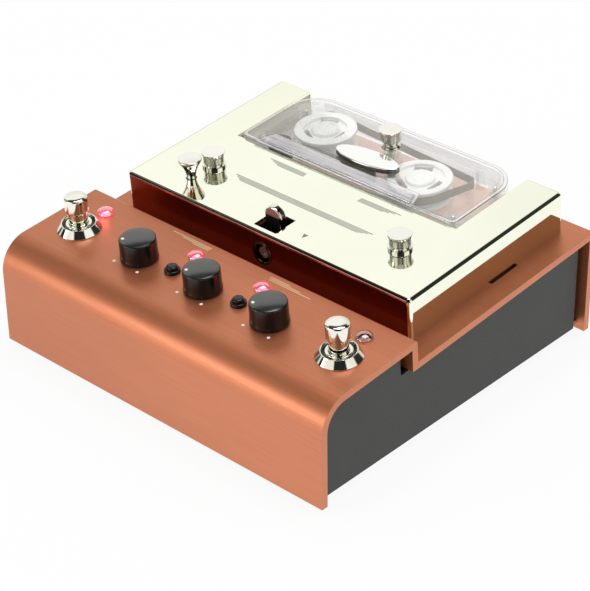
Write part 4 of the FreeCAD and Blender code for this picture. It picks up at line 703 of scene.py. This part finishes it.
class TAPEECHO_OT_knobs(Operator):
    """Turn the three knobs, with their white pointer dots"""
    bl_idname = "tape_echo.knobs"
    bl_label = "Knobs"

    def execute(self, context):
        sizes = sizes_of("controls")
        radius, top = sizes.knob, sizes.knob_top
        outline = [
            (3.06, 3.6), (6.2, 3.6), (6.2, 0.4), (radius - 0.05, 0.4), (radius + 0.1, 0.6),
            (radius + 0.1, 1.5), (radius, 1.9), (radius - 0.08, 2.4), (radius - 0.22, top - 1.2),
            (radius - 0.28, top - 0.95), (radius - 0.42, top - 0.68), (radius - 0.7, top - 0.54),
            (radius - 1.6, top - 0.36), (radius - 2.9, top - 0.17), (radius - 4.4, top - 0.03),
            (radius - 6, top + 0.06), (0, top + 0.08), (0, 8.9), (3.06, 8.9),
        ]
        dot, reach, turn = 0.72, radius - 2.1, math.radians(40)  # the dot's radius, and where it is
        pointer = Matrix.Translation((-reach * math.sin(turn), -reach * math.cos(turn), top - 0.35))
        for name, number in KNOBS:
            place = on_panel(number * sizes.knob_pitch, sizes.row)
            body = "knob_" + name
            turned("knob_cap_" + name, outline, [place], body, "black_plastic", "knob_face",
                   nodes=(body,), slot="black_plastic", choose=self.on_top)
            piece("knob_dot_" + name, repeated(disc(dot, dot, 0.14), [place @ pointer]), body,
                  "print_white")
            refinish("pot_shaft_" + name, "steel")
        refinish("potentiometers", "steel")
        return {"FINISHED"}

    @staticmethod
    def on_top(face):
        """The knob's face has the second finish."""
        return int(face.normal.z > 0.9 and face.calc_center_median().z > 9.5)


class TAPEECHO_OT_push_buttons(Operator):
    """Turn the two small push buttons and their collars"""
    bl_idname = "tape_echo.push_buttons"
    bl_label = "Push buttons"

    def execute(self, context):
        sizes = sizes_of("controls")
        places = [on_panel(side * sizes.push, sizes.push_row) for _, side in SIDES]
        cap = [(0, -3.8), (2.4, -3.8), (2.4, 2.5), (2.28, 2.8), (2.0, 3.0), (1.5, 3.08), (0, 3.1)]
        for (name, _), place in zip(SIDES, places):
            turned("push_button_" + name, cap, [place], "push_" + name, "black_plastic",
                   nodes=("push_cap_" + name,), slot="black_plastic")
        turned("push_collars", [
            (2.46, -5.2), (0, -5.2), (0, -12.6), (3.6, -12.6), (3.6, -3.2), (2.8, -3.2), (2.8, 0),
            (3.4, 0), (3.4, 0.95), (3.3, 1.25), (3.05, 1.45), (2.7, 1.5), (2.46, 1.4),
        ], places, "unit", "black_plastic", nodes=("push_switches",), slot="black_plastic")
        return {"FINISHED"}


class TAPEECHO_OT_lamps(Operator):
    """Fit the four domed lamps: the first brightly lit, the next two glowing, the last nearly out"""
    bl_idname = "tape_echo.lamps"
    bl_label = "Lamps"

    def execute(self, context):
        sizes = sizes_of("controls")
        places = [on_panel(x, sizes.lamp_row) for x in
                  (-sizes.lamp_outer, -sizes.lamp_inner, sizes.lamp_inner, sizes.lamp_outer)]
        rim = sizes.lamp
        dome = [
            (2.1, -4.2), (2.7, -4.2), (2.7, 0), (rim, 0), (rim, 0.5), (rim - 0.12, 0.9),
            (rim - 0.45, 1.35), (rim - 1.0, 1.75), (rim - 1.8, 2.08), (rim - 2.7, 2.25), (0, 2.3),
            (0, -0.6), (2.1, -0.6),
        ]
        for name, spots, finish in (("lamp_domes", places[:3], "lamp_glowing"),
                                    ("lamp_dome_dim", places[3:], "lamp_clear")):
            turned(name, dome, spots, "unit", finish, nodes=("lamp_lenses",), slot="lamp_clear")
        bulb = [(0, -12.6), (0.5, -12.6), (0.5, -6.2), (2.0, -6.2), (2.0, -2.4), (1.8, -1.7),
                (1.3, -1.15), (0.6, -0.85), (0, -0.8)]
        for name, spots, finish in (("lamp_bulb_lit", places[:1], "led_lit"),
                                    ("lamp_bulbs", places[1:3], "led_red"),
                                    ("lamp_bulb_dim", places[3:], "led_dim")):
            turned(name, bulb, spots, "unit", finish, nodes=("lamp_leds",), slot="led_red", steps=32)
        self.add_glows(context.scene, places, (9e-4, 7e-4, 7e-4, 3e-5))
        return {"FINISHED"}

    @staticmethod
    def add_glows(scene, places, watts):
        """The red light that each lamp throws on the panel in front of it."""
        before_lens = Vector((1.2, -2.6, 2.6))
        for number, (place, power) in enumerate(zip(places, watts), start=1):
            glow = bpy.data.lights.new("lamp_glow_%d" % number, "POINT")
            glow.color = scene.tape_echo_colours.lamp
            glow.energy = power
            glow.shadow_soft_size = 0.0016
            light = bpy.data.objects.new(glow.name, glow)
            light.location = place @ before_lens
            scene.collection.objects.link(light)


# ---------------- deck

class TAPEECHO_OT_deck_cover(Operator):
    """Polish the deck cover and line its cassette bay"""
    bl_idname = "tape_echo.deck_cover"
    bl_label = "Deck cover"

    def execute(self, context):
        lowest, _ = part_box("deck_cover")
        front = lowest.y + 0.004
        slope = context.scene.tape_echo_case.slope
        forward = Vector((0, -math.cos(slope), -math.sin(slope)))
        square, halfway, turned_up = 0.97, 0.87, 0.5  # how far forward a face looks
        mirror, lip, edge, fold, hem = range(5)

        def finish_of(face):
            """Mirror but for the left edge, painted dark grey as shade; the front face, tinted deep red as
            a painted reflection; and, above it, the bend of the sheet, made dark with painted shade.
            """
            facing = face.normal.dot(forward)
            # the left edge's faces get the painted shade of a dark grey line
            if face.normal.x < -0.3 and face.normal.z > 0.3:
                return edge
            if facing <= turned_up or face.calc_center_median().y >= front:
                return mirror
            if facing > square:
                return lip
            if face.normal.z < 0.1:
                return mirror
            # the bend's hem and fold: painted shade, darker where the face turns further up
            return hem if facing > halfway else fold

        dressed("deck_cover_polished", "deck_cover", "unit", "mirror_nickel", "deck_lip_painted_reflection", "deck_edge_painted_shade",
                "deck_fold_painted_shade", "deck_hem_painted_shade", ease=0.14, slot="mirror_nickel", choose=finish_of)
        sizes = sizes_of("deck")
        hole = leaning(0, sizes.front_y, sizes.hole_z) @ Matrix.Rotation(math.radians(90), 4, "X")
        turned("front_eyelet", [
            (4.0, -0.9), (4.35, -0.9), (4.35, 0), (5.3, 0), (5.3, 0.25), (5.1, 0.5), (4.9, 0.5),
            (4.6, 0.3), (4.2, 0.3), (4.0, 0.1),
        ], [hole], "unit", "black_chrome")
        # faces that look front or back take the near black; the rest take the olive with painted light
        dressed("bay_lining", "bay_liner", "unit", "liner_olive_painted_light", "liner_black", ease=0.2,
                slot="liner_black", choose=lambda face: int(abs(face.normal.y) > 0.5))
        refinish("deck_posts", "brass")
        return {"FINISHED"}


class TAPEECHO_OT_deck_print(Operator):
    """Print the grey stripes and the small pointer on the deck"""
    bl_idname = "tape_echo.deck_print"
    bl_label = "Deck print"

    def execute(self, context):
        whole = bmesh.new()
        # three stacks of stripes, each stripe a step down the slope from the one before it
        for step in range(4):
            add_bar(whole, -36.4 + 2.0 * step, -15.6 + 0.1 * step, 109.4 - 0.76 * step, 0.36)
            add_bar(whole, 15.6 - 0.1 * step, 37.0 - 2.6 * step, 109.0 - 0.76 * step, 0.36)
            add_bar(whole, -39.4 + 1.4 * step, 37.0 - 1.9 * step, 91.4 - 0.86 * step, 0.42)
        add_to(whole, slab([(14.4, 74.9), (15.7, 72.2), (17.0, 74.9)], 0, PRINT_THICK))
        place = leaning(0, 0, sizes_of("case").deck + PRINT_LIFT)
        piece("deck_stripes", repeated(whole, [place]), "unit", "print_grey")
        return {"FINISHED"}


def thumbscrew(name, body, place, neck, head, reach):
    """A knurled thumbscrew in place of its body's node.

    The neck is its outline from the seat up to the head, head is that height, and reach is how deep the
    thread goes below the seat.
    """
    sizes = sizes_of("deck")
    facets = 4  # to each groove of the knurl, and one of them is cut in
    cut = 0.89
    columns = bpy.context.scene.tape_echo_counts.grooves * facets
    radius, top = sizes.thumb, head + sizes.grip
    bm = spun([
        (0, -reach), (1.6, -reach), (2.0, 0.4 - reach), (2.0, 0), *neck, (radius - 0.25, head),
        (radius, head + 0.25), (radius, head + 0.5), (radius, top - 2.2), (radius + 0.14, top - 1.6),
        (radius + 0.42, top - 0.8), (radius + 0.66, top - 0.3), (radius + 0.64, top - 0.1),
        (radius + 0.5, top), (radius - 0.4, top), (0, top - 0.03),
    ], columns)
    low, high = head + 0.35, top - 0.5
    for vert in bm.verts:
        out = math.hypot(vert.co.x, vert.co.y)
        column = round(math.atan2(vert.co.y, vert.co.x) / (math.tau / columns))
        if low < vert.co.z < high and out > radius - 0.05 and column % facets == 0:
            bmesh.ops.scale(bm, vec=(cut, cut, 1), verts=[vert])
    for face in bm.faces:
        middle = face.calc_center_median()
        knurled = low - 0.1 < middle.z < high + 0.3 and math.hypot(middle.x, middle.y) > radius - 0.4
        face.material_index = int(knurled)
    piece(name, repeated(bm, [place]), body, "nickel_polished", "nickel_knurl", nodes=(body,),
          slot="nickel_knurl", smooth=30)


class TAPEECHO_OT_thumbscrews(Operator):
    """Turn and knurl the two thumbscrews of the deck and the cassette's screw"""
    bl_idname = "tape_echo.thumbscrews"
    bl_label = "Thumbscrews"

    def execute(self, context):
        sizes = sizes_of("deck")
        washer = [(5.15, 0), (5.25, 0.12), (5.25, 1.0), (5.1, 1.15), (3.9, 1.15), (3.8, 1.25), (3.8, 1.6)]
        for name, side in SIDES:
            place = leaning(side * sizes.thumb_x, sizes.thumb_y, sizes_of("case").deck)
            thumbscrew("thumbscrew_turned_" + name, "thumbscrew_" + name, place, washer, 1.75, 10)
        tiers = [(4.0, 0), (4.1, 0.1), (4.1, 0.6), (3.95, 0.8), (3.7, 1.0), (3.7, 1.75), (3.0, 1.95),
                 (3.0, 2.3), (3.5, 2.5), (3.5, 3.3)]
        place = leaning(0, sizes.case_screw_y, sizes.case_top)
        thumbscrew("cassette_screw_turned", "cassette_screw", place, tiers, 3.4, 17.4)
        return {"FINISHED"}


class TAPEECHO_OT_release_knob(Operator):
    """Turn the flared release knob"""
    bl_idname = "tape_echo.release_knob"
    bl_label = "Release knob"

    def execute(self, context):
        sizes = sizes_of("deck")
        place = leaning(sizes.release_x, sizes.release_y, sizes_of("case").deck)
        turned("release_knob_turned", [
            (0, -14.5), (1.6, -14.5), (2.0, -14.1), (2.0, 0.3), (2.12, 1.4), (2.3, 2.5), (2.6, 3.6),
            (3.0, 4.7), (3.55, 5.9), (4.2, 7.1), (4.85, 8.1), (5.1, 8.5), (5.15, 9.1), (5.08, 9.4),
            (4.85, 9.58), (4.5, 9.6), (3.6, 9.5), (0, 9.45),
        ], [place], "release", "nickel_polished", nodes=("release_knob",), slot="nickel_knurl")
        return {"FINISHED"}


class TAPEECHO_OT_lock(Operator):
    """Fit the sliding lock tab, its guide and the screw behind the front hole"""
    bl_idname = "tape_echo.lock"
    bl_label = "Deck lock"

    def execute(self, context):
        # the tab's forward faces carry the painted reflection over painted shade
        dressed("lock_tab_eased", "lock_tab", "lock", "chrome", "rosy_painted_reflection_over_shade", ease=0.3,
                slot="plate_zinc", choose=lambda face: int(face.normal.y < -0.98))
        refinish("lock_slide", "plate_zinc")
        refinish("lock_guide", "black_plastic")
        refinish("front_screw", "steel")
        return {"FINISHED"}


# ---------------- cassette

class TAPEECHO_OT_cassette(Operator):
    """Mould the clear cassette and fit its screws, posts and roller"""
    bl_idname = "tape_echo.cassette"
    bl_label = "Cassette"

    def execute(self, context):
        names = ("clear", "wall", "edge", "ridge", "rim", "line", "haze_and_glow")
        clear, wall, edge, ridge, rim, line, haze_and_glow = range(len(names))
        to_ledge = leaning().inverted()
        upright = leaning().to_3x3().col[2].normalized()
        top = sizes_of("deck").case_top
        floor, brim = top - 8, top - 0.5
        flat, standing = 0.98, 0.05  # how far up a face looks

        def finish_of(face):
            """Clear lid; hazy floor and brighter walls, both lit by a painted glow; a front with painted
            highlights; and grey edges round the lid, a painted reflection.
            """
            rise = abs(face.normal.dot(upright))
            height = (to_ledge @ face.calc_center_median()).z
            if height > top + 0.1 or face.normal.y < -0.9:
                return ridge
            if rise > flat and height < floor:
                return haze_and_glow
            if standing < rise < flat and height > brim:
                return edge
            return clear if rise > flat else wall

        def mark_rim(bm):
            """A rim of painted highlight round the lid, with a fine dark painted line inside it where the
            wall ends.
            """
            lid = [face for face in bm.faces if face.normal.dot(upright) > flat
                   and abs((to_ledge @ face.calc_center_median()).z - top) < 0.05]
            for width, number in ((1.35, rim), (0.28, line)):
                ring = bmesh.ops.inset_region(bm, faces=lid, thickness=width * MM, depth=0,
                                              use_even_offset=True, use_boundary=True)["faces"]
                for face in ring:
                    face.material_index = number

        for node, extra in (("case_bottom", None), ("case_top", mark_rim)):
            dressed("clear_" + node, node, "cassette", *("cassette_" + name for name in names),
                    ease=0.32, slot="cassette_clear", choose=finish_of, extra=extra)
        # the case screws take the rim's white painted highlight
        refinish("case_screws", "cassette_rim")
        refinish("guide_posts", "cassette_clear")
        refinish("pinch_roller", "rubber")
        refinish("tape_loop", "tape_brown")
        return {"FINISHED"}


class TAPEECHO_OT_reels(Operator):
    """Mould the two white reels"""
    bl_idname = "tape_echo.reels"
    bl_label = "Reels"

    def execute(self, context):
        for name, _ in SIDES:
            body = "reel_" + name
            dressed("white_" + body, body, body, "reel_white", ease=0.12, slot="reel_white")
        return {"FINISHED"}


class TAPEECHO_OT_badge(Operator):
    """Cut the bare oval plate"""
    bl_idname = "tape_echo.badge"
    bl_label = "Oval plate"

    def execute(self, context):
        sizes = sizes_of("deck")
        bm = disc(sizes.badge_half, sizes.badge_wide, sizes.badge_tall, segments=96)
        middle = sizes.badge_tall / 2
        crest = [edge for edge in bm.edges if all(vert.co.z > middle for vert in edge.verts)]
        rounded(bm, crest, width=0.45, segments=4)
        top = [face for face in bm.faces if face.normal.z > 0.99]
        bmesh.ops.inset_region(bm, faces=top, thickness=0.5, depth=-0.12, use_even_offset=True)
        # faces that turn away from the top take the painted shade of the sides
        choose_finishes(bm, lambda face: int(face.normal.z < 0.55))
        turn = Matrix.Rotation(math.radians(3), 4, "Z")
        place = leaning(0, sizes.badge_y, sizes.case_top) @ turn
        piece("oval_plate", repeated(bm, [place]), "cassette", "badge_silver", "badge_side_painted_shade",
              nodes=("case_badge",), slot="badge_silver")
        return {"FINISHED"}


# ---------------- inside and back

INSIDE = {
    "motor": "steel", "motor_pulley": "brass", "drive_belt": "belt_rubber", "flywheel": "brass",
    "capstan": "head_metal", "capstan_bearing": "brass", "transport_bridge": "plate_zinc",
    "bridge_posts": "brass", "head_bridge": "plate_zinc", "erase_head": "head_metal",
    "record_head": "head_metal", "playback_heads": "head_metal", "main_board": "board_green",
    "control_board": "board_green",
}


class TAPEECHO_OT_transport(Operator):
    """Finish the tape transport and the circuit boards"""
    bl_idname = "tape_echo.transport"
    bl_label = "Transport and boards"

    def execute(self, context):
        for node, finish in INSIDE.items():
            refinish(node, finish)
        return {"FINISHED"}


class TAPEECHO_OT_sockets(Operator):
    """Finish the jack sockets, their nuts and the power inlet"""
    bl_idname = "tape_echo.sockets"
    bl_label = "Sockets"

    def execute(self, context):
        refinish("jack_sockets", "black_plastic")
        dressed("jack_nuts_eased", "jack_nuts", "unit", "chrome", ease=0.25, slot="chrome")
        refinish("power_inlet", "black_plastic")
        return {"FINISHED"}


# ---------------- stage

def area_lamp(name, place, target, size, watts):
    light = bpy.data.lights.new(name, "AREA")
    light.shape = "RECTANGLE"
    light.size, light.size_y = size
    light.energy = watts
    thing = bpy.data.objects.new(name, light)
    thing.location = place
    thing.rotation_euler = (Vector(target) - Vector(place)).to_track_quat("-Z", "Y").to_euler()
    bpy.context.scene.collection.objects.link(thing)


def background(node, strength):
    """Makes a background of the world white, at a strength."""
    node.inputs["Color"].default_value = (1, 1, 1, 1)
    node.inputs["Strength"].default_value = strength
    return node.outputs["Background"]


class TAPEECHO_OT_stage(Operator):
    """Set the camera, the white floor, the studio's light and what polished pieces reflect"""
    bl_idname = "tape_echo.stage"
    bl_label = "Stage"

    def execute(self, context):
        self.set_camera(context.scene)
        self.set_floor(context.scene)
        self.set_world(context.scene)
        area_lamp("key", (-0.60, -1.02, 0.29), target=(0.07, -0.08, 0.03), size=(0.46, 0.38), watts=2.4)
        area_lamp("top", (0, 0.15, 1.5), target=(0, 0, 0.03), size=(0.9, 0.9), watts=8.5)
        return {"FINISHED"}

    def set_camera(self, scene):
        sensor = 36.0  # millimetres
        focal_length, frame_height = 2169.04, 591  # pixels
        data = bpy.data.cameras.new("camera")
        data.sensor_fit = "VERTICAL"
        data.sensor_height = sensor
        data.lens = sensor * focal_length / frame_height
        data.clip_start = 0.01
        camera = bpy.data.objects.new("camera", data)
        camera.matrix_world = Matrix((
            (0.7354907, -0.35180972, 0.57903657, 0.53026),
            (0.67741713, 0.39776552, -0.61877995, -0.56998),
            (-0.01262799, 0.84735619, 0.53087477, 0.50771),
            (0, 0, 0, 1),
        ))
        scene.collection.objects.link(camera)
        scene.camera = camera
        scene.view_settings.view_transform = "Standard"

    def set_floor(self, scene):
        """Nearly plain white to the camera and in reflections, yet it keeps a soft shadow."""
        half, plain_share = 8, 0.9
        corners = ((-half, -half, 0), (half, -half, 0), (half, half, 0), (-half, half, 0))
        bm = bmesh.new()
        bm.faces.new([bm.verts.new(corner) for corner in corners])
        mesh = bpy.data.meshes.new("floor")
        bm.to_mesh(mesh)
        bm.free()
        floor = bpy.data.objects.new("floor", mesh)
        scene.collection.objects.link(floor)

        material = bpy.data.materials.new("floor_white")
        material.use_nodes = True
        tree = material.node_tree
        shader = tree.nodes["Principled BSDF"]
        shader.inputs["Base Color"].default_value = (0.9, 0.9, 0.9, 1)
        shader.inputs["Roughness"].default_value = 0.9
        plain = tree.nodes.new("ShaderNodeEmission")
        plain.inputs["Strength"].default_value = 1.0
        paths = tree.nodes.new("ShaderNodeLightPath").outputs
        through = maths(tree, "MAXIMUM", paths["Is Glossy Ray"], paths["Is Transmission Ray"])
        seen = maths(tree, "MAXIMUM", paths["Is Camera Ray"], through)
        surface = blended(tree, maths(tree, "MULTIPLY", seen, plain_share), shader.outputs["BSDF"],
                          plain.outputs["Emission"])
        tree.links.new(surface, tree.nodes["Material Output"].inputs["Surface"])
        mesh.materials.append(material)

    def set_world(self, scene):
        """White for the camera, plain light, and a white room with dark flags for reflections."""
        world = bpy.data.worlds.new("studio")
        scene.world = world
        world.use_nodes = True
        tree = world.node_tree
        light = background(tree.nodes["Background"], 0.7)
        seen = background(tree.nodes.new("ShaderNodeBackground"), 1.0)
        mirrored = tree.nodes.new("ShaderNodeBackground")
        tree.links.new(self.room(tree), mirrored.inputs["Color"])

        paths = tree.nodes.new("ShaderNodeLightPath").outputs
        surface = blended(tree, paths["Is Glossy Ray"], light, mirrored.outputs["Background"])
        surface = blended(tree, paths["Is Transmission Ray"], surface, seen)
        surface = blended(tree, paths["Is Camera Ray"], surface, seen)
        tree.links.new(surface, tree.nodes["World Output"].inputs["Surface"])

    @staticmethod
    def room(tree):
        """How bright the room is on each side, and from the floor up to the dark ceiling."""
        where = tree.nodes.new("ShaderNodeTexCoord")
        split = tree.nodes.new("ShaderNodeSeparateXYZ")
        tree.links.new(where.outputs["Generated"], split.inputs["Vector"])
        turns = tree.nodes.new("ShaderNodeMapRange")
        turns.inputs["From Min"].default_value = -math.pi
        turns.inputs["From Max"].default_value = math.pi
        tree.links.new(maths(tree, "ARCTAN2", split.outputs["Y"], split.outputs["X"]),
                       turns.inputs["Value"])
        # a place round the room in turns: left, front at 0.25, right at 0.5, behind at 0.75
        sides = ((0.0, 1.0), (0.012, 0.1), (0.055, 0.1), (0.065, 0.9), (0.08, 0.9), (0.088, 0.03),
                 (0.145, 0.03), (0.158, 1.0), (0.275, 1.0), (0.29, 0.02), (0.445, 0.02), (0.46, 1.0),
                 (0.58, 1.0), (0.60, 0.03), (0.70, 0.03), (0.72, 0.84), (0.835, 0.84), (0.868, 1.0),
                 (1.0, 1.0))
        around = ramp(tree, turns.outputs["Result"], [(place, (level,) * 3) for place, level in sides])
        up = ramp(tree, split.outputs["Z"], [(0.50, (0.93, 0.90, 0.84)), (0.555, (1, 1, 1)),
                                             (0.71, (1, 1, 1)), (0.76, (0.06, 0.06, 0.05))])
        return multiplied(tree, around, up)


# ---------------- add-on

OPERATORS = (
    TAPEECHO_OT_stage, TAPEECHO_OT_shell, TAPEECHO_OT_side_panels, TAPEECHO_OT_underside,
    TAPEECHO_OT_panel_print, TAPEECHO_OT_footswitches, TAPEECHO_OT_knobs, TAPEECHO_OT_push_buttons,
    TAPEECHO_OT_lamps, TAPEECHO_OT_deck_cover, TAPEECHO_OT_deck_print, TAPEECHO_OT_thumbscrews,
    TAPEECHO_OT_release_knob, TAPEECHO_OT_lock, TAPEECHO_OT_cassette, TAPEECHO_OT_reels,
    TAPEECHO_OT_badge, TAPEECHO_OT_transport, TAPEECHO_OT_sockets,
)
GROUPS = {
    "tape_echo_case": TapeEchoCase, "tape_echo_controls": TapeEchoControls,
    "tape_echo_deck": TapeEchoDeck, "tape_echo_counts": TapeEchoCounts,
    "tape_echo_colours": TapeEchoColours,
}


class TAPEECHO_PT_sidebar(Panel):
    """Sizes, colours and pieces of the tape echo unit"""
    bl_label = "Tape echo unit"
    bl_idname = "TAPEECHO_PT_sidebar"
    bl_space_type = "VIEW_3D"
    bl_region_type = "UI"
    bl_category = "Tape echo"

    def draw(self, context):
        for name, group in GROUPS.items():
            box = self.layout.box()
            for key in group.__annotations__:
                box.prop(getattr(context.scene, name), key)
        for operator in OPERATORS:
            self.layout.operator(operator.bl_idname)


CLASSES = (*GROUPS.values(), *OPERATORS, TAPEECHO_PT_sidebar)


def register():
    for item in CLASSES:
        bpy.utils.register_class(item)
    for name, group in GROUPS.items():
        setattr(bpy.types.Scene, name, PointerProperty(type=group))


def unregister():
    for name in GROUPS:
        delattr(bpy.types.Scene, name)
    for item in reversed(CLASSES):
        bpy.utils.unregister_class(item)


def main():
    register()
    make_finishes()
    for operator in OPERATORS:
        group, name = operator.bl_idname.split(".")
        getattr(getattr(bpy.ops, group), name)()


if __name__ == "__main__":
    main()
